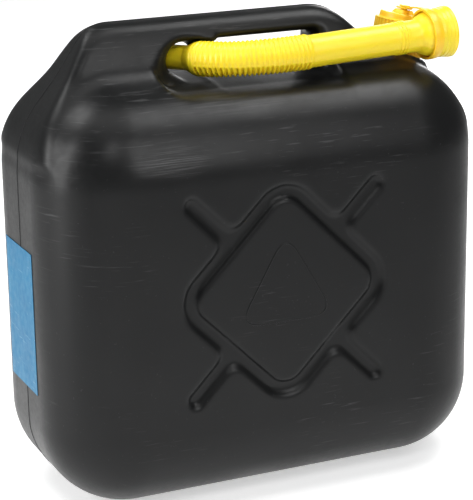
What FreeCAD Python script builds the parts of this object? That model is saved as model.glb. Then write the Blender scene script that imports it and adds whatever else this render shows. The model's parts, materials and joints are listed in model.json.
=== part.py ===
"""Twenty litre moulded fuel can with a screw cap on a strap and a flexible spout stored in its handle.

Frame: origin under the middle of the base, +Z up, +X towards the filler neck, -Y the front face.
The spout pieces are drawn along their own axis (+X out of the mouth) and then placed at the mouth;
the cap pieces are drawn along the neck's axis and then placed on the tilted neck.
"""
import FreeCAD, Part
import math
import os

from FreeCAD import Rotation, Vector
import Sketcher

SIZES = [
    ("can_width", 380.0, "left to right"),
    ("can_depth", 200.0, "front to back"),
    ("body_height", 340.0, "base to the flat top beside the handle"),
    ("handle_rise", 46.0, "flat top to the top of the handle"),
    ("edge_round", 70.0, "rounding of every outer edge of the tank"),
    ("wall", 3.0, "wall of the blown shell"),
    ("foot_reach", 8.0, "edge of the standing pad past the flat of the tank's base"),
    ("foot_corner", 18.0, "corner of that pad"),
    ("handle_inset", 1.0, "handle's ends inside the tank's sides"),
    ("handle_left", 128.0, "left end of the handle's top edge, before its corner is rounded"),
    ("handle_right", 80.0, "right end of the handle's top edge, before its corner is rounded"),
    ("handle_left_round", 28.0, "corner at the left end of the top edge"),
    ("handle_right_round", 43.0, "corner at the right end of the top edge"),
    ("shoulder_share", 0.63, "share of the handle's height that its left slope takes"),
    ("shoulder_inset", 9.0, "foot of that slope, in from the handle's end"),
    ("handle_shoulder_round", 60.0, "where the handle's left slope meets the tank's side"),
    ("crown_half", 8.0, "half width of the handle's flat crown"),
    ("grip_half", 17.5, "half thickness of the handle where its bevel ends"),
    ("grip_drop", 10.5, "crown down to the end of the bevel"),
    ("root_half", 35.0, "half thickness of the handle at its root"),
    ("root_drop", 56.0, "crown down to the root"),
    ("skirt_half", 46.0, "half width of the handle inside the tank"),
    ("skirt_drop", 86.0, "crown down to where that width is reached"),
    ("root_round", 14.0, "hollow rounding at the handle's root"),
    ("grip_thickness", 21.0, "crown down to the underside of the grip"),
    ("grip_round", 15.0, "rounding of the grip's underside"),
    ("gap_left", 31.0, "left end of the finger gap"),
    ("gap_right", 60.0, "right end of the finger gap"),
    ("gap_sink", 4.0, "flat top down to the floor of the finger gap"),
    ("gap_corner", 8.0, "corners of the finger gap"),
    ("tooth_height", 11.0, "depth of the tooth between the finger gap and the tip's seat"),
    ("tooth_round", 3.0, "edge of that tooth"),
    ("seat_x", -51.5, "centre of the round seat for the spout's tip"),
    ("seat_rise", 15.5, "floor of the finger gap up to that centre"),
    ("seat_radius", 12.5, "radius of the seat at the parting line"),
    ("seat_flare", 29.0, "radius of the seat's rounded mouths"),
    ("spout_room", 0.5, "clearance round the stored spout"),
    ("mark_x", -4.0, "middle of the raised mark, beside the can's middle"),
    ("mark_centre", 177.0, "height of the middle of the raised mark"),
    ("mark_reach", 89.8, "middle of the mark to the corners of the channel's middle line, before rounding"),
    ("mark_arm", 117.4, "middle of the mark to the ends of its four arms"),
    ("mark_width", 11.8, "width of the channel"),
    ("mark_depth", 4.5, "depth of the channel"),
    ("mark_corner", 22.0, "corner rounding on the channel's middle line"),
    ("line_reach", 47.0, "middle to the corners of the engraved triangle"),
    ("line_width", 1.6, "width of the engraved line"),
    ("line_depth", 0.8, "depth of the engraved line"),
    ("line_corner", 11.0, "corners of the engraved triangle"),
    ("label_front", 27.0, "label's edge in front of the middle"),
    ("label_back", 38.0, "label's edge behind the middle"),
    ("label_low", 96.0, "bottom of the label"),
    ("label_high", 213.0, "top of the label"),
    ("label_sheet", 0.35, "thickness of the moulded-in label"),
    ("neck_inset", 44.5, "tank's right side back to where the neck's axis starts"),
    ("neck_sink", 6.0, "flat top down to that point"),
    ("neck_tilt", 12.0, "lean of the neck to the right, degrees"),
    ("neck_radius", 17.2, "outside of the neck under its thread"),
    ("neck_bore", 14.5, "inside of the neck"),
    ("neck_length", 29.6, "along the axis, to the rim"),
    ("boss_radius", 25.0, "pad round the neck"),
    ("boss_length", 2.0, "pad's face above the axis point"),
    ("boss_sink", 20.0, "how deep the neck and its pad are rooted in the shell"),
    ("thread_pitch", 6.0, "rise per turn of the coarse thread"),
    ("thread_turns", 1.6, "turns of each ridge"),
    ("thread_tall", 1.6, "height of the neck's ridge"),
    ("thread_base", 2.6, "width of a ridge at its foot"),
    ("thread_crest", 1.2, "width of a ridge at its top"),
    ("thread_drop", 4.0, "rim down to the end of the ridge"),
    ("thread_sink", 0.3, "how deep a ridge is rooted in its wall"),
    ("thread_room", 0.6, "radial clearance between ridge and opposite wall"),
    ("cap_wall", 3.2, "skirt of the cap"),
    ("cap_lift", 1.2, "skirt's edge above the pad"),
    ("cap_plate", 3.2, "top plate of the cap"),
    ("cap_crown", 19.6, "radius of the cap's raised top"),
    ("cap_shoulder", 5.0, "raised top down to the top of the skirt"),
    ("cap_inner_step", 2.0, "top of the skirt down to where its bore narrows to the rim"),
    ("rim_room", 0.4, "radial clearance round the rim"),
    ("cap_room", 2.0, "clearance round the cap"),
    ("seal_radius", 17.2, "sealing disc"),
    ("seal_sheet", 1.6, "thickness of the sealing disc"),
    ("seal_room", 0.1, "play between the disc and the cap"),
    ("stud_foot", 8.5, "radius of the boss on the cap"),
    ("stud_foot_rise", 5.8, "height of that boss"),
    ("stud_taper", 2.2, "how much the boss narrows upwards"),
    ("stud_radius", 3.0, "post that the strap turns on"),
    ("stud_rise", 2.7, "height of the post"),
    ("stud_head", 4.8, "radius of the post's head"),
    ("stud_head_rise", 1.2, "height of the head"),
    ("stud_bevel", 0.5, "bevel of the head"),
    ("strap_sheet", 1.4, "thickness of the strap"),
    ("strap_width", 6.0, "width of the strap's band"),
    ("strap_rest", 0.8, "boss up to the underside of the eyelet"),
    ("strap_room", 0.5, "play of the eyelet on its post"),
    ("eyelet_width", 3.4, "ring of plastic round the eyelet's hole"),
    ("band_root", 1.0, "start of the band beyond the eyelet's hole"),
    ("band_bend", 0.62, "share of the band's length at which it bends"),
    ("band_arch", 2.4, "rise of the band at its bend"),
    ("ring_width", 8.0, "width of the strap's ring along the spout"),
    ("ring_wall", 1.6, "wall of the ring"),
    ("ring_room", 1.5, "play of the ring round the bell"),
    ("ring_back", 20.4, "mouth back to the middle of the ring"),
    ("ring_tilt", 5.0, "lean of the ring on the bell, degrees"),
    ("mouth_inset", 23.4, "tank's right side back to the centre of the spout's mouth"),
    ("mouth_front", 49.0, "can's middle plane forward to that centre"),
    ("mouth_rise", 21.7, "flat top up to that centre"),
    ("spout_rise", 2.5, "rise of the spout's axis towards the mouth, degrees"),
    ("tube_radius", 13.0, "outside of the straight tube"),
    ("tube_wall", 1.6, "wall of the spout"),
    ("tube_start", 39.6, "can's middle to the end of the tube at the bellows"),
    ("bell_radius", 17.6, "outside of the bell"),
    ("bell_back", 19.0, "mouth back to the start of the bell"),
    ("flare_back", 32.0, "mouth back to the start of the flare"),
    ("bell_flange", 18.9, "radius of the bell's end flange"),
    ("flare_shift", 1.0, "inner wall of the flare ahead of its outer one"),
    ("flange_back", 9.0, "mouth back to the face of the flange"),
    ("flange_sheet", 2.0, "thickness of the flange"),
    ("collar_rise", 1.0, "height of the three collars on the tube"),
    ("collar_width", 1.8, "width of a collar"),
    ("collar_step", 3.4, "distance between collars"),
    ("collar_back", 40.0, "mouth back to the front collar"),
    ("nut_radius", 21.2, "outside of the union nut"),
    ("nut_lip", 2.2, "thickness of the nut's rear lip"),
    ("nut_bevel", 2.0, "bevel at the nut's back"),
    ("nut_step", 0.6, "rise of the nut's front band"),
    ("nut_band", 4.0, "width of that band"),
    ("nut_room", 0.35, "play of the nut on the bell"),
    ("washer_bore", 13.5, "hole of the spout's washer"),
    ("washer_sheet", 1.6, "thickness of the washer"),
    ("bellows_radius", 14.25, "outside of the bellows"),
    ("bellows_wall", 1.5, "wall of the bellows"),
    ("wide_bend", 150.0, "radius of the bellows' gentle bend"),
    ("wide_turn", 19.6, "angle of the gentle bend, degrees"),
    ("tight_bend", 63.0, "radius of the bellows' tight bend"),
    ("tight_turn", 35.4, "angle of the tight bend, degrees"),
    ("cone_length", 10.0, "bellows to the slim tip"),
    ("tip_radius", 9.5, "outside of the slim tip"),
    ("tip_length", 56.0, "length of the slim tip"),
    ("tip_bevel", 0.8, "bevel at the tip's end"),
]

ROUND_LIMIT = 0.49    # largest rounding, as a share of the shortest side
CUT_OVER = 2.0        # how far a cutting tool runs past the face that it opens
GRIP_LIP = 0.75       # share of the grip's rounding that its lips take
GRIP_UNDER = 0.8      # share of it that rounds the underside's edges
END_FLARE = 0.5       # half width of the gap's rounded end, as a share of the handle's root
FUNNEL_REACH = 0.93   # depth of the seat's mouths, as a share of their radius
FUNNEL_SPREAD = 0.62  # share of a full quarter round that the mouths open to
SKETCH_STEP = 10      # spacing of a sketch's corners before its constraints move them
FRONT = -1
BACK = 1


def make_sheet(doc):
    """Spreadsheet that holds every driving size."""
    sheet = doc.addObject("Spreadsheet::Sheet", "Sizes")
    for row, (alias, value, words) in enumerate(SIZES, start=1):
        sheet.set("A%d" % row, alias)
        sheet.set("B%d" % row, "%g" % value)
        sheet.set("C%d" % row, words)
        sheet.setAlias("B%d" % row, alias)
    doc.recompute()
    return sheet


# ---------------------------------------------------------------- small geometry helpers

def flat_point(plane, across, up):
    """Point of the XZ, YZ or XY plane."""
    if plane == "XZ":
        return Vector(across, 0, up)
    if plane == "YZ":
        return Vector(0, across, up)
    return Vector(across, up, 0)


def rounded_face(plane, corners):
    """Face from corners (across, up, radius), each corner rounded by a tangent arc."""
    edges = []
    ends = []
    count = len(corners)
    for index, (across, up, radius) in enumerate(corners):
        here = flat_point(plane, across, up)
        before = flat_point(plane, *corners[index - 1][:2]) - here
        after = flat_point(plane, *corners[(index + 1) % count][:2]) - here
        before.normalize()
        after.normalize()
        half = before.getAngle(after) / 2
        if radius <= 0:
            ends.append((here, here, None))
            continue
        reach = radius / math.tan(half)
        middle = (before + after).normalize() * (radius / math.sin(half) - radius)
        ends.append((here + before * reach, here + after * reach, here + middle))
    for index, (start, stop, middle) in enumerate(ends):
        if middle is not None:
            edges.append(Part.Arc(start, middle, stop).toShape())
        following = ends[(index + 1) % count][0]
        if stop.distanceToPoint(following) > 1e-6:
            edges.append(Part.LineSegment(stop, following).toShape())
    return Part.Face(Part.Wire(Part.__sortEdges__(edges)))


def prism(plane, corners, low, high):
    """Rounded polygon extruded across its plane from low to high."""
    face = rounded_face(plane, corners)
    along = {"XZ": Vector(0, 1, 0), "YZ": Vector(1, 0, 0), "XY": Vector(0, 0, 1)}[plane]
    face.translate(along * low)
    return face.extrude(along * (high - low))


def rounded_block(width, depth, low, high, radius):
    """Block standing on z = low with all twelve edges rounded."""
    radius = min(radius, ROUND_LIMIT * min(width, depth, high - low))
    block = Part.makeBox(width, depth, high - low, Vector(-width / 2, -depth / 2, low))
    return block.makeFillet(radius, block.Edges)


def turned(points, axis_point=Vector(0, 0, 0), axis=Vector(0, 0, 1)):
    """Solid of revolution from a closed polygon of points."""
    wire = Part.makePolygon(points + [points[0]])
    return Part.Face(wire).revolve(axis_point, axis, 360)


# ---------------------------------------------------------------- placements

def neck_placement(size):
    """Neck frame: Z along the leaning neck, origin on the shoulder."""
    return FreeCAD.Placement(Vector(size.neck_x, 0, size.neck_up),
                             Rotation(Vector(0, 1, 0), size.neck_tilt))


def spout_placement(size):
    """Spout frame: X out of the mouth, origin at the middle of the mouth."""
    return FreeCAD.Placement(Vector(size.mouth_x, -size.mouth_front, size.mouth_up),
                             Rotation(Vector(0, 1, 0), -size.spout_rise))


def bend_ends(size):
    """Points and headings of the bellows' middle line in the spout frame."""
    wide = math.radians(size.wide_turn)
    full = math.radians(size.wide_turn + size.tight_turn)
    start = Vector(-size.tube_length, 0, 0)
    middle = start + Vector(-math.sin(wide), 1 - math.cos(wide), 0) * size.wide_bend
    swing = Vector(math.sin(wide) - math.sin(full), math.cos(wide) - math.cos(full), 0)
    end = middle + swing * size.tight_bend
    return start, middle, end, wide, full


def tip_placement(size):
    """Tip frame: X from the bellows' end back along the tip, away from the mouth."""
    end, full = bend_ends(size)[2], bend_ends(size)[4]
    local = FreeCAD.Placement(end, Rotation(Vector(0, 0, 1), 180 - math.degrees(full)))
    return spout_placement(size).multiply(local)


# ---------------------------------------------------------------- the can

def handle_form(size, inset):
    """Wedge of the handle: its side outline met with its tapering section, shrunk by inset."""
    top = size.can_height - inset
    half_width = size.can_width / 2 - size.handle_inset
    low = size.body_height - size.edge_round
    foot = low + inset
    left = -size.handle_left + inset
    right = size.handle_right - inset
    shoulder = top - (top - low) * size.shoulder_share
    side = [
        (-half_width + inset, foot, 0),
        (-half_width + size.shoulder_inset + inset, shoulder, size.handle_shoulder_round),
        (left, top, size.handle_left_round),
        (right, top, size.handle_right_round),
        (right + (top - low) / 2, low + (top - low) / 2, 0),
        (right + (top - low) / 2, foot, 0),
    ]
    bevel = size.can_height - size.grip_drop
    root = size.can_height - size.root_drop
    section = [
        (size.crown_half - inset / 2, top, 0),
        (size.grip_half - inset, bevel, size.grip_round - inset),
        (size.root_half - inset, root, size.root_round),
        (size.skirt_half - inset, size.can_height - size.skirt_drop, 0),
        (size.skirt_half - inset, foot, 0),
    ]
    mirrored = [(-across, up, radius) for across, up, radius in reversed(section)]
    outline = prism("XZ", side, -size.skirt_half, size.skirt_half)
    form = outline.common(prism("YZ", section + mirrored, -size.can_width / 2, size.can_width / 2))
    across = size.can_depth / 2 - inset
    corner = min(size.edge_round - inset, ROUND_LIMIT * 2 * across)
    plan = [(-half_width + inset, -across, corner), (half_width, -across, corner),
            (half_width, across, corner), (-half_width + inset, across, corner)]
    return form.common(prism("XY", plan, foot, size.can_height))


def finger_gap(size):
    """Tool for the finger gap: three rounded prisms that meet, so every lip is rounded."""
    ceiling = size.can_height - size.grip_thickness
    lip = size.grip_round * GRIP_LIP
    flat = size.grip_half - lip
    left = -size.gap_left
    far = size.can_depth / 2
    side = [
        (left, size.gap_floor, 0),
        (size.gap_right + lip, size.gap_floor, 0),
        (size.gap_right + lip, ceiling + lip, size.gap_corner),
        (left + size.tooth_height + lip, ceiling + lip, 0),
        (left, ceiling - size.tooth_height, size.tooth_round),
    ]
    section = [
        (-far, size.gap_floor, 0), (far, size.gap_floor, 0),
        (far, ceiling + lip, 0), (size.grip_half + CUT_OVER, ceiling + lip, 0),
        (flat, ceiling, size.grip_round * GRIP_UNDER),
        (-flat, ceiling, size.grip_round * GRIP_UNDER),
        (-size.grip_half - CUT_OVER, ceiling + lip, 0), (-far, ceiling + lip, 0),
    ]
    flare = size.root_half * END_FLARE
    mouth = flare + size.gap_corner / 2
    plan = [
        (-size.can_width / 2, -far, 0), (size.gap_right + lip, -far, 0),
        (size.gap_right + lip, -mouth, 0), (size.gap_right, -flare / 2, size.gap_corner),
        (size.gap_right, flare / 2, size.gap_corner), (size.gap_right + lip, mouth, 0),
        (size.gap_right + lip, far, 0), (-size.can_width / 2, far, 0),
    ]
    gap = prism("XZ", side, -far, far)
    gap = gap.common(prism("YZ", section, -size.can_width / 2, size.can_width / 2))
    return gap.common(prism("XY", plan, 0, size.can_height + CUT_OVER))


def seat_funnel(size):
    """Tool for the tip's seat: a throat with rounded mouths, down to the gap's floor, open to the gap."""
    reach = size.seat_flare * FUNNEL_REACH
    widen = size.seat_flare - math.sqrt(size.seat_flare ** 2 - reach ** 2)
    centre = Vector(size.seat_x, 0, size.seat_up)
    inner = centre + Vector(size.seat_radius, 0, 0)
    outer = size.seat_radius + widen * FUNNEL_SPREAD
    tail = size.can_depth / 2
    curve = Part.Arc(centre + Vector(outer, -reach, 0), inner, centre + Vector(outer, reach, 0)).toShape()
    corners = [centre + Vector(across, along, 0) for across, along in (
        (outer, reach), (outer, tail), (0, tail), (0, -tail), (outer, -tail), (outer, -reach))]
    lines = [Part.LineSegment(start, stop).toShape() for start, stop in zip(corners, corners[1:])]
    funnel = Part.Face(Part.Wire([curve] + lines)).revolve(centre, Vector(0, 1, 0), 360)
    keep = Part.makeBox(size.can_width, size.can_depth, size.can_height - size.gap_floor,
                        Vector(-size.can_width / 2, -size.can_depth / 2, size.gap_floor))
    passage = Part.makeBox(-size.gap_left - size.seat_x + CUT_OVER / 2, size.can_depth,
                           size.can_height - size.grip_thickness - size.tooth_height - size.gap_floor,
                           Vector(size.seat_x, -size.can_depth / 2, size.gap_floor))
    return funnel.common(keep).fuse(passage)


def spout_way(size):
    """Tool for the room that the stored spout's tip, cone and bellows slide out through."""
    room = size.spout_room
    wide = size.bellows_radius + room
    slim = size.tip_radius + room
    out = -size.can_depth / 2
    end = size.cone_length + size.tip_length + room
    way = turned([Vector(out, 0, 0), Vector(out, wide, 0), Vector(0, wide, 0),
                  Vector(size.cone_length, slim, 0), Vector(end, slim, 0), Vector(end, 0, 0)],
                 axis=Vector(1, 0, 0))
    way.Placement = tip_placement(size)
    hose = bellows_pipe(size, wide)
    hose.Placement = spout_placement(size)
    return way.fuse(hose)


def diamond(size, reach, corner, near, far):
    """Rounded diamond prism round the middle of the mark."""
    across, up = size.mark_x, size.mark_centre
    corners = [(across + reach, up, corner), (across, up + reach, corner),
               (across - reach, up, corner), (across, up - reach, corner)]
    return prism("XZ", corners, near, far)


def mark_channel(size, side, grow):
    """Tool for the channel of the mark: a diamond band with four diagonal arms."""
    face = side * size.can_depth / 2
    near, far = sorted((face - side * (size.mark_depth + grow), face + side * CUT_OVER))
    half = size.mark_width / 2 + grow
    step = half * math.sqrt(2)
    band = diamond(size, size.mark_reach + step, size.mark_corner + half, near, far)
    band = band.cut(diamond(size, size.mark_reach - step, max(size.mark_corner - half, 1), near, far))
    start = size.mark_reach / math.sqrt(2)
    length = size.mark_arm - size.mark_width / 2 - start
    for quarter in range(4):
        arm = Part.makeBox(length, far - near, 2 * half, Vector(start, near, -half))
        arm = arm.fuse(Part.makeCylinder(half, far - near, Vector(start + length, near, 0), Vector(0, 1, 0)))
        arm.rotate(Vector(0, 0, 0), Vector(0, 1, 0), 45 + 90 * quarter)
        arm.translate(Vector(size.mark_x, 0, size.mark_centre))
        band = band.fuse(arm)
    return band


def mark_line(size, side):
    """Tool for the fine triangle engraved in the middle of the mark."""
    face = side * size.can_depth / 2
    near, far = sorted((face - side * size.line_depth, face + side * CUT_OVER))

    def triangle(reach, corner):
        corners = []
        for index in range(3):
            turn = math.radians(90 + 120 * index)
            across, up = size.mark_x + reach * math.cos(turn), size.mark_centre + reach * math.sin(turn)
            corners.append((across, up, corner))
        return prism("XZ", corners, near, far)

    outer = triangle(size.line_reach + size.line_width * 2, size.line_corner + size.line_width)
    return outer.cut(triangle(size.line_reach, size.line_corner))


def thread_ridge(size, radius, height, start, inward):
    """Helical ridge with a trapezoid section on a cylinder about Z, from height start."""
    sign = -1 if inward else 1
    sink = size.thread_sink
    foot = size.thread_base / 2
    crest = size.thread_crest / 2
    helix = Part.makeHelix(size.thread_pitch, size.thread_pitch * size.thread_turns, radius)
    section = Part.makePolygon([
        Vector(radius - sign * sink, 0, -foot), Vector(radius - sign * sink, 0, foot),
        Vector(radius + sign * height, 0, crest), Vector(radius + sign * height, 0, -crest),
        Vector(radius - sign * sink, 0, -foot)])
    ridge = Part.Wire(helix.Edges).makePipeShell([section], True, True)
    ridge.translate(Vector(0, 0, start))
    return ridge


def can_cavity(size):
    """Space inside the shell, the handle's two hollow feet included."""
    wall = size.wall
    cavity = rounded_block(size.can_width - 2 * wall, size.can_depth - 2 * wall, wall,
                           size.body_height - wall, size.edge_round - wall)
    cavity = cavity.fuse(handle_form(size, wall + size.handle_inset))
    ends = (size.seat_x - size.seat_radius - size.seat_flare, size.gap_right + size.grip_round)
    solid_grip = Part.makeBox(ends[1] - ends[0], size.can_depth, size.can_height,
                              Vector(ends[0], -size.can_depth / 2, size.gap_floor - wall - CUT_OVER))
    cavity = cavity.cut(solid_grip)
    cap_side = size.cap_radius + size.cap_room + wall
    relief = Part.makeCylinder(cap_side, size.can_height, Vector(0, 0, -wall - CUT_OVER / 2))
    relief.Placement = neck_placement(size)
    cavity = cavity.cut(relief)
    root = size.boss_sink + CUT_OVER
    bore = Part.makeCylinder(size.neck_bore, root + size.neck_length + CUT_OVER, Vector(0, 0, -root))
    bore.Placement = neck_placement(size)
    for side in (FRONT, BACK):
        cavity = cavity.cut(mark_channel(size, side, wall))
    return cavity, bore


def standing_pad(size):
    """Flat pad with rounded corners under the tank, which stands out a little where the edges curve up."""
    edge = min(size.edge_round, ROUND_LIMIT * size.can_depth) - size.foot_reach
    across, deep = size.can_width / 2 - edge, size.can_depth / 2 - edge
    corners = [(a * across, b * deep, size.foot_corner) for a, b in ((-1, -1), (1, -1), (1, 1), (-1, 1))]
    return prism("XY", corners, 0, size.wall)


def make_can(doc, size):
    """Blown shell: tank, handle with finger gap and tip seat, raised marks, neck and thread."""
    can = rounded_block(size.can_width, size.can_depth, 0, size.body_height, size.edge_round)
    place = neck_placement(size)
    can = can.fuse(handle_form(size, 0)).fuse(standing_pad(size))
    cap_side = size.cap_radius + size.cap_room
    relief = Part.makeCylinder(cap_side, size.can_height, Vector(0, 0, size.boss_length))
    relief.Placement = place
    can = can.cut(relief)
    can = can.cut(finger_gap(size)).cut(seat_funnel(size)).cut(spout_way(size))
    root = Vector(0, 0, -size.boss_sink)
    boss = Part.makeCylinder(size.boss_radius, size.boss_sink + size.boss_length, root)
    neck = Part.makeCylinder(size.neck_radius, size.boss_sink + size.neck_length, root)
    ridge_start = size.neck_length - size.thread_pitch * size.thread_turns - size.thread_drop
    neck = neck.fuse(boss).fuse(thread_ridge(size, size.neck_radius, size.thread_tall, ridge_start, False))
    neck.Placement = place
    can = can.fuse(neck)
    cavity, bore = can_cavity(size)
    can = can.cut(cavity).cut(bore)
    for side in (FRONT, BACK):
        can = can.cut(mark_channel(size, side, 0)).cut(mark_line(size, side))
    can = can.cut(label_solid(size))
    return finished(doc, "can_body", can.removeSplitter(), FreeCAD.Placement())


def label_solid(size):
    """Sheet that follows the tank's left side, flush with it."""
    outer = rounded_block(size.can_width, size.can_depth, 0, size.body_height, size.edge_round)
    sheet = size.label_sheet
    inner = rounded_block(size.can_width - 2 * sheet, size.can_depth - 2 * sheet, sheet,
                          size.body_height - sheet, size.edge_round - sheet)
    corner = Vector(-size.can_width / 2 - CUT_OVER, -size.label_front, size.label_low)
    window = Part.makeBox(size.edge_round, size.label_front + size.label_back,
                          size.label_high - size.label_low, corner)
    return outer.cut(inner).common(window)


def make_label(doc, size):
    """Plain side label."""
    return finished(doc, "side_label", label_solid(size), FreeCAD.Placement())


# ---------------------------------------------------------------- pieces turned on a lathe profile

def finished(doc, name, shape, placement):
    """Document object for a shape made with Part's functions."""
    item = doc.addObject("Part::Feature", name)
    item.Label = name
    item.Shape = shape
    item.Placement = placement
    return item


def origin_plane(body, role):
    """One of a body's own origin planes."""
    return next(item for item in body.Origin.OriginFeatures if item.Role == role)


def turned_body(doc, name, profile, axis):
    """PartDesign body: a sketch whose corners are bound to the sheet, revolved about axis.

    profile is a list of (along, out) expressions: along the axis, and out from it.
    """
    body = doc.addObject("PartDesign::Body", name)
    body.Label = name
    sketch = body.newObject("Sketcher::SketchObject", name + "_profile")
    sketch.AttachmentSupport = (origin_plane(body, "XY_Plane" if axis == "H_Axis" else "XZ_Plane"), [""])
    sketch.MapMode = "FlatFace"
    count = len(profile)
    rough = [Vector(SKETCH_STEP * index, SKETCH_STEP + index * index, 0) for index in range(count)]
    for index in range(count):
        sketch.addGeometry(Part.LineSegment(rough[index], rough[(index + 1) % count]), False)
    for index in range(count):
        sketch.addConstraint(Sketcher.Constraint("Coincident", index, 2, (index + 1) % count, 1))
    for index, (along, out) in enumerate(profile):
        across, up = (along, out) if axis == "H_Axis" else (out, along)
        for kind, value, words in (("DistanceX", rough[index].x, across), ("DistanceY", rough[index].y, up)):
            place = sketch.addConstraint(Sketcher.Constraint(kind, -1, 1, index, 1, value))
            sketch.setExpression("Constraints[%d]" % place, words)
    turn = body.newObject("PartDesign::Revolution", name + "_turn")
    turn.Profile = sketch
    turn.ReferenceAxis = (sketch, [axis])
    turn.Angle = 360
    doc.recompute()
    return body


def named(words):
    """Expression text with its size names bound to the sheet."""
    parts = []
    for word in words.split():
        parts.append("Sizes." + word if word[0].isalpha() else word)
    return " ".join(parts)


def profile_of(pairs):
    """Turn plain pairs of words into pairs of sheet expressions."""
    return [(named(along), named(out)) for along, out in pairs]


def make_cap(doc, size):
    """Screw cap: skirt with a ridge inside, plate, boss, and the headed post for the strap."""
    low = "boss_length + cap_lift"
    under = "neck_length + seal_sheet + seal_room"
    top = under + " + cap_plate"
    shoulder = top + " - cap_shoulder"
    step = shoulder + " - cap_inner_step"
    foot = top + " + stud_foot_rise"
    post = foot + " + stud_rise"
    bore = "neck_radius + thread_tall + thread_room"
    body = turned_body(doc, "cap_shell", profile_of([
        (low, bore), (low, bore + " + cap_wall"), (shoulder, bore + " + cap_wall"),
        (shoulder, "cap_crown"), (top, "cap_crown"), (top, "stud_foot"), (foot, "stud_foot - stud_taper"),
        (foot, "stud_radius"), (post, "stud_radius"), (post, "stud_head"),
        (post + " + stud_head_rise", "stud_head - stud_bevel"), (post + " + stud_head_rise", "0"),
        (under, "0"), (under, "neck_radius + rim_room"), (step, "neck_radius + rim_room"),
        (step, bore)]), "V_Axis")
    between = size.thread_pitch * (size.thread_turns + 0.5)
    ridge = thread_ridge(size, size.cap_bore, size.thread_tall,
                         size.neck_length - between - size.thread_drop, True)
    return finished(doc, "filler_cap", body.Shape.fuse(ridge), neck_placement(size))


def make_seal(doc, size):
    """Sealing disc between the neck's rim and the cap."""
    body = turned_body(doc, "cap_seal", profile_of([
        ("neck_length", "0"), ("neck_length", "seal_radius"),
        ("neck_length + seal_sheet", "seal_radius"), ("neck_length + seal_sheet", "0")]), "V_Axis")
    body.Placement = neck_placement(size)
    return body


def make_spout_tube(doc, size):
    """Stiff part of the spout: straight tube, three collars, flare, bell and end flange."""
    end = "tube_start + mouth_inset - can_width / 2"
    outer = [(end, "tube_radius")]
    for steps in (2, 1, 0):
        back = "0 - collar_back - collar_width - %d * collar_step" % steps
        front = back + " + collar_width"
        outer += [(back, "tube_radius"), (back, "tube_radius + collar_rise"),
                  (front, "tube_radius + collar_rise"), (front, "tube_radius")]
    flange = "0 - flange_back - flange_sheet"
    outer += [("0 - flare_back", "tube_radius"), ("0 - bell_back", "bell_radius"),
              (flange, "bell_radius"), (flange, "bell_flange"), ("0 - flange_back", "bell_flange")]
    inner = [("0 - flange_back", "bell_radius - tube_wall"),
             ("flare_shift - bell_back", "bell_radius - tube_wall"),
             ("flare_shift - flare_back", "tube_radius - tube_wall"), (end, "tube_radius - tube_wall")]
    body = turned_body(doc, "spout_tube", profile_of(outer + inner), "H_Axis")
    body.Placement = spout_placement(size)
    return body


def make_nut(doc, size):
    """Union nut on the bell, open to the front."""
    lip = "0 - flange_back - flange_sheet - nut_room"
    back = lip + " - nut_lip"
    bore = "neck_radius + thread_tall + thread_room"
    body = turned_body(doc, "spout_nut", profile_of([
        (back, "bell_radius + nut_room"), (back, "nut_radius - nut_bevel"),
        (back + " + nut_bevel", "nut_radius - nut_step"), ("0 - nut_band", "nut_radius - nut_step"),
        ("0 - nut_band", "nut_radius"), ("0", "nut_radius"), ("0", bore), (lip, bore),
        (lip, "bell_radius + nut_room")]), "H_Axis")
    body.Placement = spout_placement(size)
    return body


def make_washer(doc, size):
    """Flat washer in the nut, against the bell's flange."""
    body = turned_body(doc, "spout_washer", profile_of([
        ("0 - flange_back", "washer_bore"), ("0 - flange_back", "bell_flange"),
        ("washer_sheet - flange_back", "bell_flange"),
        ("washer_sheet - flange_back", "washer_bore")]), "H_Axis")
    body.Placement = spout_placement(size)
    return body


def bellows_pipe(size, radius):
    """Round bar of the given radius carried along the bellows' two tangent arcs, in the spout frame."""
    start, middle, end, wide, full = bend_ends(size)
    half = wide / 2
    wide_mid = start + Vector(-math.sin(half), 1 - math.cos(half), 0) * size.wide_bend
    half = (wide + full) / 2
    swing = Vector(math.sin(wide) - math.sin(half), math.cos(wide) - math.cos(half), 0)
    tight_mid = middle + swing * size.tight_bend
    arcs = [Part.Arc(start, wide_mid, middle).toShape(), Part.Arc(middle, tight_mid, end).toShape()]
    path = Part.Wire(arcs)
    ring = Part.Wire(Part.makeCircle(radius, start, Vector(1, 0, 0)))
    return path.makePipeShell([ring], True, False)


def make_bellows(doc, size):
    """Bent flexible hose of the spout, drawn smooth."""
    hose = bellows_pipe(size, size.bellows_radius)
    hose = hose.cut(bellows_pipe(size, size.bellows_radius - size.bellows_wall))
    return finished(doc, "spout_bellows", hose, spout_placement(size))


def make_tip(doc, size):
    """Cone and slim open tip of the spout."""
    length = "cone_length + tip_length"
    slim = "tip_radius - tube_wall"
    body = turned_body(doc, "spout_tip", profile_of([
        ("0", "bellows_radius"), ("cone_length", "tip_radius"), (length + " - tip_bevel", "tip_radius"),
        (length, "tip_radius - tip_bevel"), (length, slim), ("cone_length", slim),
        ("0", "bellows_radius - tube_wall")]), "H_Axis")
    body.Placement = tip_placement(size)
    return body


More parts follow.
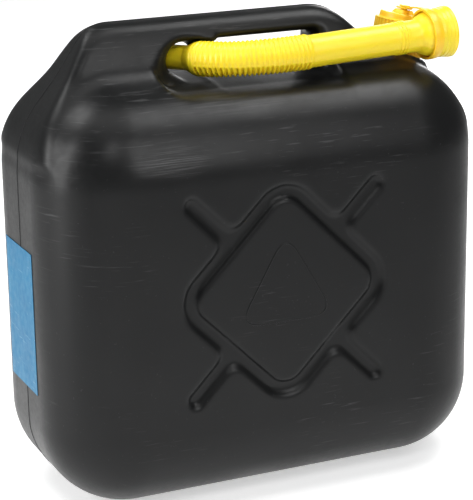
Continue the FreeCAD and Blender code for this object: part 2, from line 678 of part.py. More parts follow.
def make_strap(doc, size):
    """Strap moulded in one: eyelet on the cap's post, flat band, and ring round the bell."""
    neck = neck_placement(size)
    spout = spout_placement(size)
    seat = size.neck_length + size.seal_sheet + size.seal_room + size.cap_plate + size.stud_foot_rise
    seat += size.strap_rest
    hole = size.stud_radius + size.strap_room
    eyelet = Part.makeCylinder(hole + size.eyelet_width, size.strap_sheet, Vector(0, 0, seat))
    eyelet.Placement = neck
    punch = Part.makeCylinder(hole, size.strap_sheet + CUT_OVER, Vector(0, 0, seat - CUT_OVER / 2))
    punch.Placement = neck
    inner = size.bell_radius + size.ring_room
    outer = inner + size.ring_wall
    lean = FreeCAD.Placement(Vector(-size.ring_back, 0, 0), Rotation(Vector(0, 1, 0), size.ring_tilt))
    ring_place = spout.multiply(lean)
    ring = Part.makeCylinder(outer, size.ring_width, Vector(-size.ring_width / 2, 0, 0), Vector(1, 0, 0))
    clear = Part.makeCylinder(inner, size.ring_width + 2 * CUT_OVER,
                              Vector(-size.ring_width / 2 - CUT_OVER, 0, 0), Vector(1, 0, 0))
    ring.Placement = ring_place
    clear.Placement = ring_place
    first = neck.multVec(Vector(0, 0, seat + size.strap_sheet / 2))
    last = ring_place.multVec(Vector(0, 0, outer - size.strap_sheet / 2))
    flat = Vector(last.x - first.x, last.y - first.y, 0).normalize()
    side = Vector(-flat.y, flat.x, 0) * (size.strap_width / 2)
    begin = first + flat * (hole + size.band_root)
    rise = Vector(0, 0, size.strap_sheet)
    low = Vector(0, 0, -size.strap_sheet / 2)
    bend = begin + (last - begin) * size.band_bend + Vector(0, 0, size.band_arch)
    faces = [Part.Wire(Part.makePolygon([point + low + side, point + low - side, point + low - side + rise,
                                         point + low + side + rise, point + low + side]))
             for point in (begin, bend, last)]
    band = Part.makeLoft(faces, True, True)
    strap = eyelet.fuse(band).cut(punch).fuse(ring).cut(clear)
    return finished(doc, "cap_strap", strap.removeSplitter(), FreeCAD.Placement())


class Sheet:
    """The spreadsheet's values by name, with the sizes that follow from them."""

    def __init__(self, sheet):
        for alias, _value, _words in SIZES:
            setattr(self, alias, float(sheet.get(alias)))
        self.can_height = self.body_height + self.handle_rise
        self.gap_floor = self.body_height - self.gap_sink
        self.seat_up = self.gap_floor + self.seat_rise
        self.neck_x = self.can_width / 2 - self.neck_inset
        self.neck_up = self.body_height - self.neck_sink
        self.mouth_x = self.can_width / 2 - self.mouth_inset
        self.mouth_up = self.body_height + self.mouth_rise
        self.tube_length = self.mouth_x - self.tube_start
        self.cap_bore = self.neck_radius + self.thread_tall + self.thread_room
        self.cap_radius = self.cap_bore + self.cap_wall


def export(doc, items):
    """Check every object and write each piece to its own file."""
    doc.recompute()
    for item in doc.Objects:
        if "Invalid" in item.State or "Error" in item.State:
            raise RuntimeError("failed: " + item.Label)
    os.makedirs("parts", exist_ok=True)
    for item in items:
        shape = item.Shape
        if shape.isNull() or not shape.isValid() or not shape.Solids:
            raise RuntimeError("bad shape: " + item.Label)
        shape.exportStep("parts/%s.step" % item.Label)
        box = shape.BoundBox
        print("%-14s solids %d volume %10.1f  x %7.1f %7.1f  y %7.1f %7.1f  z %7.1f %7.1f" % (
            item.Label, len(shape.Solids), shape.Volume, box.XMin, box.XMax, box.YMin, box.YMax,
            box.ZMin, box.ZMax))


def main():
    """Build the whole can."""
    doc = FreeCAD.newDocument("fuel_can")
    size = Sheet(make_sheet(doc))
    makers = (make_can, make_label, make_cap, make_seal, make_strap, make_spout_tube, make_nut,
              make_washer, make_bellows, make_tip)
    export(doc, [maker(doc, size) for maker in makers])


main()
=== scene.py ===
"""Looks of a black moulded fuel can with a yellow screw cap, a strap, and a spout stored in its handle.

Sizes in the classes are millimetres, as the makers of such cans give them. put_mesh turns them into
metres. The frame has its origin under the middle of the base, +Z up, +X towards the neck, -Y the front.
"""

import itertools
import json
import logging
import math
from collections.abc import Callable
from dataclasses import dataclass
from enum import Enum

import bmesh
import bpy
import numpy as np
from mathutils import Matrix, Vector


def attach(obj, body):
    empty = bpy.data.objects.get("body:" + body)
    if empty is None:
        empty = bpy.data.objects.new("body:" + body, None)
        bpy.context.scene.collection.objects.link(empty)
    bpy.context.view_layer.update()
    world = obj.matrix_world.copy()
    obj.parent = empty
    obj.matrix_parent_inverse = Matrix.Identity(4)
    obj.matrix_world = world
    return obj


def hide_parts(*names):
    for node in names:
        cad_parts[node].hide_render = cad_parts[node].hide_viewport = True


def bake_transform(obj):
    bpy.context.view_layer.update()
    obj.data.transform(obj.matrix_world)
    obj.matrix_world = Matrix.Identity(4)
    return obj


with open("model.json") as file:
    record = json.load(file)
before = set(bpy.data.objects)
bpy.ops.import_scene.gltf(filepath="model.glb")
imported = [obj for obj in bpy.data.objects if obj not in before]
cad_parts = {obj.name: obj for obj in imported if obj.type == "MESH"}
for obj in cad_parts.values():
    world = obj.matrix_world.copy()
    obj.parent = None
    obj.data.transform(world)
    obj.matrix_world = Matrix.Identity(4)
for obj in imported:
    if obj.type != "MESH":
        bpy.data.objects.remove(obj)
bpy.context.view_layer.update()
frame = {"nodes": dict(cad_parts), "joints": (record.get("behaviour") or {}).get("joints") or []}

MM = 0.001
TURN = 2 * math.pi
ROUND_LIMIT = 0.49    # largest reach of a corner's rounding, as a share of its shorter side
LOG = logging.getLogger("fuel_can")


class Side(Enum):
    """Front and back faces of the can, as the sign of Y."""

    FRONT = -1
    BACK = 1


# ------------------------------------------------------------------ numbers on the frame

def joint(name: str) -> dict:
    """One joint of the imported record."""
    return next(item for item in frame["joints"] if item["name"] == name)


def unit(values: np.ndarray) -> np.ndarray:
    """Vector of length one."""
    values = np.asarray(values, float)
    return values / np.linalg.norm(values)


@dataclass(frozen=True)
class Axes:
    """A local frame: origin in millimetres and three unit vectors."""

    origin: np.ndarray
    along: np.ndarray
    across: np.ndarray
    up: np.ndarray

    def place(self, points: np.ndarray) -> np.ndarray:
        """Local points (along, across, up) in the can's frame."""
        return self.origin + points @ np.array([self.along, self.across, self.up])


def spout_axes() -> Axes:
    """Frame of the spout: origin at the middle of its mouth, along out of the mouth.

    Returns:
        The frame.
    """
    along = unit(joint("nut_turn")["axis"])
    up = unit(joint("spout_swing")["axis"])
    return Axes(np.array(joint("nut_turn")["pos_m"]) / MM, along, np.cross(up, along), up)


def neck_axes() -> Axes:
    """Frame of the neck: origin on the shoulder, along up the leaning neck.

    Returns:
        The frame.
    """
    along = unit(joint("cap_turn")["axis"])
    across = np.array([0.0, 1.0, 0.0])
    return Axes(np.array(joint("cap_turn")["pos_m"]) / MM, along, across, np.cross(along, across))


# ------------------------------------------------------------------ meshes

def put_mesh(name: str, points: np.ndarray, faces: np.ndarray, merge: float = 0.0) -> bpy.types.Object:
    """Object from points in millimetres and faces.

    Args:
        name: name of the object and its mesh.
        points: array of shape (n, 3), millimetres in the can's frame.
        faces: array of shape (m, 3 or 4).
        merge: distance in millimetres under which points are joined, 0 for none.

    Returns:
        The new object, smooth shaded, its normals outward.
    """
    mesh = bpy.data.meshes.new(name)
    mesh.from_pydata((np.asarray(points) * MM).tolist(), [], np.asarray(faces).tolist())
    if merge > 0:
        work = bmesh.new()
        work.from_mesh(mesh)
        bmesh.ops.remove_doubles(work, verts=work.verts, dist=merge * MM)
        bmesh.ops.dissolve_degenerate(work, edges=work.edges, dist=merge * MM)
        bmesh.ops.recalc_face_normals(work, faces=work.faces)
        work.to_mesh(mesh)
        work.free()
    mesh.update()
    mesh.shade_smooth()
    item = bpy.data.objects.new(name, mesh)
    bpy.context.scene.collection.objects.link(item)
    return item


def grid_faces(rows: int, columns: int, wrap_rows: bool, wrap_columns: bool) -> np.ndarray:
    """Quads of a grid of points, each between two rows and two columns.

    Args:
        rows: number of rows of points.
        columns: number of points in a row.
        wrap_rows: whether the last row joins the first.
        wrap_columns: whether the last column joins the first.

    Returns:
        Array of shape (m, 4) of point numbers.
    """
    down = np.arange(rows if wrap_rows else rows - 1)
    right = np.arange(columns if wrap_columns else columns - 1)
    row, column = np.meshgrid(down, right, indexing="ij")
    below, beside = (row + 1) % rows, (column + 1) % columns
    quads = np.stack([row * columns + column, row * columns + beside,
                      below * columns + beside, below * columns + column], axis=-1)
    return quads.reshape(-1, 4)


def rounded_line(corners: list, closed: bool, steps: int = 6) -> np.ndarray:
    """Polyline with tangent arcs at its corners.

    Each corner is (a, b, radius). The arc's centre lies on the corner's bisector, and its points are the
    corner's two tangent points blended by a quadratic curve, which is within a hair of the arc.

    Args:
        corners: list of (a, b, radius).
        closed: whether the line closes on itself.
        steps: points per arc.

    Returns:
        Array of shape (n, 2).
    """
    points = np.array([corner[:2] for corner in corners], float)
    radii = np.array([corner[2] for corner in corners], float)
    before = np.roll(points, 1, axis=0) - points
    after = np.roll(points, -1, axis=0) - points
    lengths = np.linalg.norm(before, axis=1), np.linalg.norm(after, axis=1)
    before = before / lengths[0][:, None]
    after = after / lengths[1][:, None]
    half = np.arccos(np.clip((before * after).sum(axis=1), -1, 1)) / 2
    reach = np.minimum(radii / np.maximum(np.tan(half), 1e-6), ROUND_LIMIT * np.minimum(*lengths))
    if not closed:
        reach[0] = reach[-1] = 0
    blend = np.linspace(0, 1, steps)[None, :, None]
    start = (points + before * reach[:, None])[:, None, :]
    stop = (points + after * reach[:, None])[:, None, :]
    curve = (1 - blend) ** 2 * start + 2 * blend * (1 - blend) * points[:, None, :] + blend ** 2 * stop
    line = curve.reshape(-1, 2)
    keep = np.ones(len(line), bool)
    keep[1:] = np.linalg.norm(np.diff(line, axis=0), axis=1) > 1e-4
    return line[keep]


def finer(line: np.ndarray, step: float) -> np.ndarray:
    """The same polyline with extra points spread evenly along its long stretches.

    Args:
        line: array of shape (n, 2).
        step: longest stretch that is left.

    Returns:
        Array of shape (m, 2).
    """
    pieces = []
    for start, stop in zip(line[:-1], line[1:]):
        count = max(1, int(math.ceil(np.linalg.norm(stop - start) / step)))
        pieces.append(start + (stop - start) * np.linspace(0, 1, count, endpoint=False)[:, None])
    return np.concatenate(pieces + [line[-1:]])


def lathe(profile: np.ndarray, axes: Axes, around: int, closed: bool,
          shape: Callable | None = None) -> tuple:
    """Surface of revolution.

    A profile point (along, out) at angle t goes to along on the axis and out times (cos t, sin t) across it.

    Args:
        profile: array of (along, out).
        axes: frame whose along is the axis.
        around: points round the axis.
        closed: whether the profile closes on itself.
        shape: optional function of (along, out, angle) that returns a new out.

    Returns:
        Points and faces.
    """
    angle = np.arange(around) * TURN / around
    along, turn = np.meshgrid(profile[:, 0], angle, indexing="ij")
    out = np.repeat(profile[:, 1:2], around, axis=1)
    if shape is not None:
        out = shape(along, out, turn)
    local = np.stack([along, out * np.cos(turn), out * np.sin(turn)], axis=-1).reshape(-1, 3)
    return axes.place(local), grid_faces(len(profile), around, closed, True)


def join(parts: list) -> tuple:
    """Several surfaces as one, with the point numbers of each moved past those before it.

    Args:
        parts: list of (points, faces).

    Returns:
        Points and faces.
    """
    points, faces, start = [], [], 0
    for part_points, part_faces in parts:
        points.append(part_points)
        faces.append(part_faces + start)
        start += len(part_points)
    return np.concatenate(points), np.concatenate(faces)


def swept(path: np.ndarray, side: np.ndarray, lift: np.ndarray, section: np.ndarray,
          closed: bool) -> tuple:
    """A closed section carried along a path: point + a * side + b * lift.

    Args:
        path: (n, 3) points.
        side, lift: (n, 3) unit vectors across the path.
        section: (m, 2) closed outline of (a, b).
        closed: whether the path closes on itself.

    Returns:
        Points and faces, with flat ends where the path is open.
    """
    grid = path[:, None, :] + side[:, None, :] * section[None, :, :1]
    grid = grid + lift[:, None, :] * section[None, :, 1:]
    rows, columns = len(path), len(section)
    if not closed:
        ends = grid.mean(axis=1, keepdims=True)
        grid = np.concatenate([np.repeat(ends[:1], columns, axis=1), grid,
                               np.repeat(ends[-1:], columns, axis=1)])
        rows += 2
    return grid.reshape(-1, 3), grid_faces(rows, columns, closed, True)


def half_round(width: float, height: float, steps: int = 7) -> np.ndarray:
    """Section of a low ridge: a half ellipse over a flat foot that is sunk by its own height.

    Args:
        width: width of the ridge.
        height: height of its top.
        steps: points on the half ellipse.

    Returns:
        Array of shape (n, 2).
    """
    turn = np.linspace(0, math.pi, steps)
    top = np.stack([np.cos(turn) * width / 2, np.sin(turn) * height], axis=-1)
    foot = np.array([[-width / 2, -height], [width / 2, -height]])
    return np.concatenate([top, foot])


# ------------------------------------------------------------------ implicit form of the can

def soft_min(first: np.ndarray, second: np.ndarray, reach: float) -> np.ndarray:
    """Smaller of two distances, rounded where they differ by less than reach."""
    near = np.clip(1 - np.abs(first - second) / reach, 0, None)
    return np.minimum(first, second) - near * near * reach / 4


def soft_max(first: np.ndarray, second: np.ndarray, reach: float) -> np.ndarray:
    """Larger of two distances, rounded where they differ by less than reach."""
    return -soft_min(-first, -second, reach)


def smooth(share: np.ndarray) -> np.ndarray:
    """Ease a share from 0 to 1 with level ends: 3 s^2 - 2 s^3."""
    share = np.clip(share, 0, 1)
    return share * share * (3 - 2 * share)


def half_plane(across: np.ndarray, up: np.ndarray, start: tuple, stop: tuple) -> np.ndarray:
    """Signed distance to the line from start to stop, positive on its right hand side."""
    step = unit(np.subtract(stop, start))
    return (across - start[0]) * step[1] - (up - start[1]) * step[0]


def untangle(value: np.ndarray) -> None:
    """Turn the sign of the smallest value in each grid square whose corners' signs alternate.

    Such a square would give one edge with four faces. Three rounds over the three axes leave none.

    Args:
        value: samples of the field on the grid, changed in place.
    """
    steps = np.array([(0, 0, 0), (1, 0, 0), (1, 1, 0), (0, 1, 0)])
    for axis in (0, 1, 2) * 3:
        layers = np.moveaxis(value, axis, -1)
        four = np.stack([layers[:-1, :-1], layers[1:, :-1], layers[1:, 1:], layers[:-1, 1:]])
        inside = four < 0
        squares = np.argwhere((inside[0] == inside[2]) & (inside[1] == inside[3]) & (inside[0] != inside[1]))
        weakest = np.abs(four[(slice(None), *squares.T)]).argmin(axis=0)
        spots = squares + steps[weakest]
        layers[tuple(spots.T)] *= -1


def surface_net(field: Callable, low: np.ndarray, high: np.ndarray, step: float) -> tuple:
    """Mesh of the level 0 of a field on a grid: one point in each cell that the surface crosses.

    The point is the mean of the crossings of the cell's edges, found by linear interpolation, and each
    grid edge that the surface crosses gives one quad between its four cells. The points are then moved
    onto the surface along the field's gradient.

    Args:
        field: function of (x, y, z) arrays, negative inside.
        low, high: corners of the grid.
        step: size of a cell.

    Returns:
        Points and faces.
    """
    ticks = [np.arange(start, stop + step, step) for start, stop in zip(low, high)]
    value = field(*np.meshgrid(*ticks, indexing="ij"))
    untangle(value)
    inside = value < 0
    cells = tuple(size - 1 for size in value.shape)
    corners = list(itertools.product((0, 1), repeat=3))

    def shifted(array: np.ndarray, corner: tuple) -> np.ndarray:
        """The array's value at one corner of every cell."""
        return array[tuple(slice(offset, offset + size) for offset, size in zip(corner, cells))]

    count = sum(shifted(inside, corner).astype(np.int8) for corner in corners)
    active = (count > 0) & (count < 8)
    where = np.argwhere(active)
    index = np.full(cells, -1)
    index[active] = np.arange(len(where))
    at_corner = {corner: shifted(value, corner)[active] for corner in corners}
    total = np.zeros((len(where), 3))
    crossings = np.zeros(len(where))
    for first, second in itertools.combinations(corners, 2):
        if sum(abs(a - b) for a, b in zip(first, second)) != 1:
            continue
        start, stop = at_corner[first], at_corner[second]
        crossed = (start < 0) != (stop < 0)
        share = np.where(crossed, start / np.where(crossed, start - stop, 1), 0)
        spot = np.array(first) + share[:, None] * (np.array(second) - np.array(first))
        total += spot * crossed[:, None]
        crossings += crossed
    points = np.array([tick[0] for tick in ticks]) + (where + total / crossings[:, None]) * step

    quads = []
    for axis in range(3):
        one, two = [(1, 2), (2, 0), (0, 1)][axis]
        ahead = [slice(1, -1)] * 3
        ahead[axis] = slice(1, None)
        here = [slice(1, -1)] * 3
        here[axis] = slice(0, -1)
        start, stop = inside[tuple(here)], inside[tuple(ahead)]
        spots = np.argwhere(start != stop)
        offset = np.array([1, 1, 1])
        offset[axis] = 0
        spots = spots + offset
        ring = []
        for back_one, back_two in ((1, 1), (0, 1), (0, 0), (1, 0)):
            cell = spots.copy()
            cell[:, one] -= back_one
            cell[:, two] -= back_two
            ring.append(index[tuple(cell.T)])
        ring = np.stack(ring, axis=-1)
        outward = start[start != stop]
        quads.append(np.where(outward[:, None], ring, ring[:, ::-1]))
    faces = np.concatenate(quads)
    return onto_surface(field, points), faces


def onto_surface(field: Callable, points: np.ndarray, rounds: int = 3, small: float = 0.15) -> np.ndarray:
    """Points moved to the field's level 0: each round steps back by value times gradient over its square.

    Args:
        field: function of (x, y, z) arrays.
        points: array of shape (n, 3).
        rounds: number of steps.
        small: half the distance over which the gradient is measured.

    Returns:
        Array of shape (n, 3).
    """
    for _ in range(rounds):
        value = field(*points.T)
        slope = np.stack([field(*(points + shift).T) - field(*(points - shift).T)
                          for shift in np.eye(3) * small], axis=-1) / (2 * small)
        size = np.maximum((slope ** 2).sum(axis=1), 0.2)
        points = points - np.clip(value / size, -1.5, 1.5)[:, None] * slope
    return points


# ------------------------------------------------------------------ finishes

class Nodes:
    """Short way to lay out a material's nodes."""

    def __init__(self, name: str) -> None:
        """Start a material.

        Args:
            name: name of the material.
        """
        self.material = bpy.data.materials.new(name)
        self.material.use_nodes = True
        self.tree = self.material.node_tree
        self.shader = self.tree.nodes["Principled BSDF"]
        self.place = self.add("ShaderNodeTexCoord").outputs["Object"]

    def add(self, kind: str, **values: object) -> bpy.types.Node:
        """New node.

        Args:
            kind: Blender's name for the node's type.
            values: attributes of the node, or values of its inputs where the name starts with in_.

        Returns:
            The node.
        """
        node = self.tree.nodes.new(kind)
        for key, value in values.items():
            if key.startswith("in_"):
                node.inputs[key[3:].replace("_", " ")].default_value = value
            else:
                setattr(node, key, value)
        return node

    def link(self, source: bpy.types.NodeSocket, target: bpy.types.NodeSocket) -> None:
        """Join two sockets."""
        self.tree.links.new(source, target)

    def noise(self, scale: float, detail: float = 3.0, stretch: tuple = (1, 1, 1),
              turn: tuple = (0, 0, 0)) -> bpy.types.NodeSocket:
        """Noise on the object's own coordinates.

        Args:
            scale: features per metre.
            detail: number of finer layers.
            stretch: factor on the scale along X, Y and Z.
            turn: turn of the coordinates, in radians.

        Returns:
            Socket of the noise, about 0.25 to 0.75.
        """
        mapping = self.add("ShaderNodeMapping", in_Scale=stretch, in_Rotation=turn)
        node = self.add("ShaderNodeTexNoise", in_Scale=scale, in_Detail=detail)
        self.link(self.place, mapping.inputs["Vector"])
        self.link(mapping.outputs["Vector"], node.inputs["Vector"])
        return node.outputs["Fac"]

    def ramp(self, source: bpy.types.NodeSocket, low: float, high: float, start: float,
             stop: float) -> bpy.types.NodeSocket:
        """Straight line from (low, start) to (high, stop), level beyond both.

        Args:
            source: socket that is read.
            low: source value where the ramp begins.
            high: source value where it ends.
            start: result at low.
            stop: result at high.

        Returns:
            Socket of the result.
        """
        node = self.add("ShaderNodeMapRange", in_From_Min=low, in_From_Max=high,
                        in_To_Min=start, in_To_Max=stop)
        self.link(source, node.inputs["Value"])
        return node.outputs["Result"]

    def patch(self, centre: tuple, size: tuple) -> bpy.types.NodeSocket:
        """Oval patch that fades: a ramp on the length of (place - centre) / size.

        Args:
            centre: middle in metres.
            size: half sizes in metres.

        Returns:
            Socket that is 1 round the centre and 0 at the half sizes.
        """
        shift = tuple(-middle / half for middle, half in zip(centre, size))
        mapping = self.add("ShaderNodeMapping", in_Scale=tuple(1 / half for half in size), in_Location=shift)
        away = self.add("ShaderNodeVectorMath", operation="LENGTH")
        self.link(self.place, mapping.inputs["Vector"])
        self.link(mapping.outputs["Vector"], away.inputs[0])
        return self.ramp(away.outputs["Value"], 0.25, 1.0, 1, 0)

    def calc(self, kind: str, first: bpy.types.NodeSocket | float,
             second: bpy.types.NodeSocket | float = 0.0) -> bpy.types.NodeSocket:
        """Sum, product or the like of two sockets or numbers.

        Args:
            kind: name of the operation.
            first: socket or number.
            second: socket or number.

        Returns:
            Socket of the result.
        """
        node = self.add("ShaderNodeMath", operation=kind)
        for slot, value in enumerate((first, second)):
            if isinstance(value, (int, float)):
                node.inputs[slot].default_value = value
            else:
                self.link(value, node.inputs[slot])
        return node.outputs[0]

    def mix(self, share: bpy.types.NodeSocket | float, first: bpy.types.NodeSocket | tuple,
            second: bpy.types.NodeSocket | tuple) -> bpy.types.NodeSocket:
        """Colour between two others.

        Args:
            share: 0 for the first and 1 for the second.
            first: colour or socket.
            second: colour or socket.

        Returns:
            Socket of the colour.
        """
        node = self.add("ShaderNodeMix", data_type="RGBA")
        if isinstance(share, (int, float)):
            node.inputs["Factor"].default_value = share
        else:
            self.link(share, node.inputs["Factor"])
        for slot, value in ((6, first), (7, second)):
            if isinstance(value, tuple):
                node.inputs[slot].default_value = (*value, 1.0)
            else:
                self.link(value, node.inputs[slot])
        return node.outputs[2]

    def bumps(self, *layers: tuple) -> None:
        """Chain of bumps into the shader's normal.

        Args:
            layers: each (height socket, distance in metres, strength).
        """
        normal = None
        for height, distance, strength in layers:
            node = self.add("ShaderNodeBump", in_Distance=distance, in_Strength=strength)
            self.link(height, node.inputs["Height"])
            if normal is not None:
                self.link(normal, node.inputs["Normal"])
            normal = node.outputs["Normal"]
        self.link(normal, self.shader.inputs["Normal"])


@dataclass(frozen=True)
class MouldedBlack:
    """Semi-matt black polyethylene of the blown can: fine grain, slow waves, dull patches and scuffs, with
    pale strokes on the front shoulder that are partly rub marks and partly a painted highlight.

    The corner and shoulder patch settings are (middle, half sizes) in metres of two patches of pale fine
    strokes: rub marks with a painted highlight on the front-top rounding.
    """

    name: str = "black_polyethylene"
    dark: tuple = (0.0075, 0.0078, 0.008)
    # Pale grey of scuffs and dust, also used for the painted highlight strokes on the front shoulder.
    wear_and_highlight: tuple = (0.12, 0.12, 0.122)
    # Two patches of pale strokes on the front-top rounding: rub marks and a painted highlight where the
    # shoulder catches the light.
    corner_rubs_and_highlight: tuple = ((-0.095, -0.09, 0.2915), (0.038, 0.06, 0.0135))
    shoulder_rubs_and_highlight: tuple = ((-0.045, -0.085, 0.327), (0.07, 0.06, 0.009))
    shoulder_rubs_and_highlight_share: float = 0.5
    scuff_share: float = 0.45
    scuff_heights: tuple = (0.25, 0.285)
    satin: tuple = (0.31, 0.40)
    specular: float = 0.2
    grain_scale: float = 1500.0
    wave_scale: float = 16.0

    def build(self) -> bpy.types.Material:
        """Material with its nodes.

        Returns:
            The material.
        """
        nodes = Nodes(self.name)
        scuff_lines = nodes.ramp(nodes.noise(30, 6, (1.2, 1, 22), (0, 0.12, 0)), 0.60, 0.74, 0, 1)
        parts = nodes.add("ShaderNodeSeparateXYZ")
        nodes.link(nodes.place, parts.inputs["Vector"])
        high = nodes.ramp(parts.outputs["Z"], *self.scuff_heights, 0, 0.11)
        scuff_zone = nodes.ramp(nodes.calc("ADD", nodes.noise(12, 2), high), 0.56, 0.68, 0, 1)
        scuffs_and_highlight = nodes.calc("MULTIPLY", scuff_lines, nodes.calc("MULTIPLY", scuff_zone, self.scuff_share))
        # Pale strokes in the two shoulder patches: rub marks together with a painted highlight.
        strokes = nodes.ramp(nodes.noise(60, 4, (0.45, 1, 24), (0, 0.08, 0)), 0.44, 0.74, 0, 1)
        rubs_and_highlight = nodes.calc("MAXIMUM", nodes.patch(*self.corner_rubs_and_highlight),
                            nodes.calc("MULTIPLY", nodes.patch(*self.shoulder_rubs_and_highlight), self.shoulder_rubs_and_highlight_share))
        scuffs_and_highlight = nodes.calc("MAXIMUM", scuffs_and_highlight, nodes.calc("MULTIPLY", strokes, rubs_and_highlight))
        dust = nodes.ramp(nodes.noise(420, 2), 0.70, 0.76, 0, 0.35)
        # The pale colour goes on scuffs, dust and the painted shoulder highlight.
        wear_and_highlight = nodes.calc("MAXIMUM", nodes.calc("MULTIPLY", scuffs_and_highlight, 0.8), nodes.calc("MULTIPLY", dust, 0.4))
        nodes.link(nodes.mix(wear_and_highlight, self.dark, self.wear_and_highlight), nodes.shader.inputs["Base Color"])
        patches = nodes.ramp(nodes.noise(22, 4), 0.3, 0.7, *self.satin)
        fine = nodes.ramp(nodes.noise(260, 3), 0.3, 0.7, -0.03, 0.03)
        rough = nodes.calc("ADD", nodes.calc("ADD", patches, fine), nodes.calc("MULTIPLY", scuffs_and_highlight, 0.2))
        nodes.link(rough, nodes.shader.inputs["Roughness"])
        nodes.shader.inputs["Specular IOR Level"].default_value = self.specular
        nodes.bumps((nodes.noise(self.wave_scale, 2), 0.0025, 0.30),
                    (nodes.noise(self.grain_scale, 2), 0.00008, 0.35),
                    (scuffs_and_highlight, 0.0001, 0.5))
        return nodes.material


@dataclass(frozen=True)
class YellowPlastic:
    """Soft yellow polyethylene: a little light passes into it, with a satin skin and faint flow marks."""

    name: str
    colour: tuple
    deep: tuple
    roughness: float = 0.36
    glow_through: float = 0.25
    glow_depth: float = 0.003
    glow_reach: tuple = (1.0, 0.7, 0.15)
    grain_scale: float = 900.0

    def build(self) -> bpy.types.Material:
        """Material with its nodes.

        Returns:
            The material.
        """
        nodes = Nodes(self.name)
        tone = nodes.ramp(nodes.noise(55, 3), 0.35, 0.7, 0, 0.5)
        nodes.link(nodes.mix(tone, self.colour, self.deep), nodes.shader.inputs["Base Color"])
        shine = nodes.ramp(nodes.noise(120, 4), 0.3, 0.7, self.roughness - 0.05, self.roughness + 0.07)
        nodes.link(shine, nodes.shader.inputs["Roughness"])
        nodes.shader.inputs["Subsurface Weight"].default_value = self.glow_through
        nodes.shader.inputs["Subsurface Radius"].default_value = self.glow_reach
        nodes.shader.inputs["Subsurface Scale"].default_value = self.glow_depth
        nodes.bumps((nodes.noise(70, 2), 0.0006, 0.25), (nodes.noise(self.grain_scale, 2), 0.00006, 0.3))
        return nodes.material


@dataclass(frozen=True)
class LabelFilm:
    """Plain blue film, a little clouded and scratched."""

    name: str = "blue_label"
    blue: tuple = (0.008, 0.13, 0.26)
    light: tuple = (0.016, 0.17, 0.31)
    scratched: tuple = (0.5, 0.62, 0.7)
    specular: float = 0.2

    def build(self) -> bpy.types.Material:
        """Material with its nodes.

        Returns:
            The material.
        """
        nodes = Nodes(self.name)
        cloud = nodes.ramp(nodes.noise(30, 3), 0.35, 0.65, 0, 0.6)
        scratch = nodes.ramp(nodes.noise(60, 5, (1, 1, 14), (0.5, 0, 0)), 0.66, 0.74, 0, 0.35)
        base = nodes.mix(cloud, self.blue, self.light)
        nodes.link(nodes.mix(scratch, base, self.scratched), nodes.shader.inputs["Base Color"])
        nodes.link(nodes.ramp(nodes.noise(180, 3), 0.3, 0.7, 0.35, 0.5), nodes.shader.inputs["Roughness"])
        nodes.shader.inputs["Specular IOR Level"].default_value = self.specular
        nodes.bumps((nodes.noise(90, 2), 0.0003, 0.25), (nodes.noise(1200, 2), 0.00005, 0.25))
        return nodes.material


@dataclass(frozen=True)
class SealRubber:
    """Matt black rubber of the seals."""

    name: str = "black_seal"
    colour: tuple = (0.02, 0.02, 0.021)
    dusty: tuple = (0.035, 0.035, 0.036)

    def build(self) -> bpy.types.Material:
        """Material with its nodes.

        Returns:
            The material.
        """
        nodes = Nodes(self.name)
        tone = nodes.ramp(nodes.noise(150, 3), 0.3, 0.7, 0, 1)
        nodes.link(nodes.mix(tone, self.colour, self.dusty), nodes.shader.inputs["Base Color"])
        nodes.link(nodes.ramp(nodes.noise(300, 2), 0.3, 0.7, 0.6, 0.75), nodes.shader.inputs["Roughness"])
        nodes.bumps((nodes.noise(1400, 2), 0.00008, 0.5))
        return nodes.material


def dress(item: bpy.types.Object, material: bpy.types.Material, slot: str, body: str, *nodes: str) -> None:
    """Give a new piece its material and body, and hide the CAD nodes that it stands for.

    Args:
        item: the piece.
        material: its finish.
        slot: the record's material slot; not used.
        body: the body that it rides on, or nothing for a piece that spans two bodies and is attached to
            neither.
        nodes: CAD nodes that it replaces.
    """
    item.data.materials.clear()
    item.data.materials.append(material)
    if body:
        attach(item, body)
    if nodes:
        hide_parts(*nodes)
    LOG.info("%s: %d faces on %s", item.name, len(item.data.polygons), body or "two bodies")


# ------------------------------------------------------------------ the can

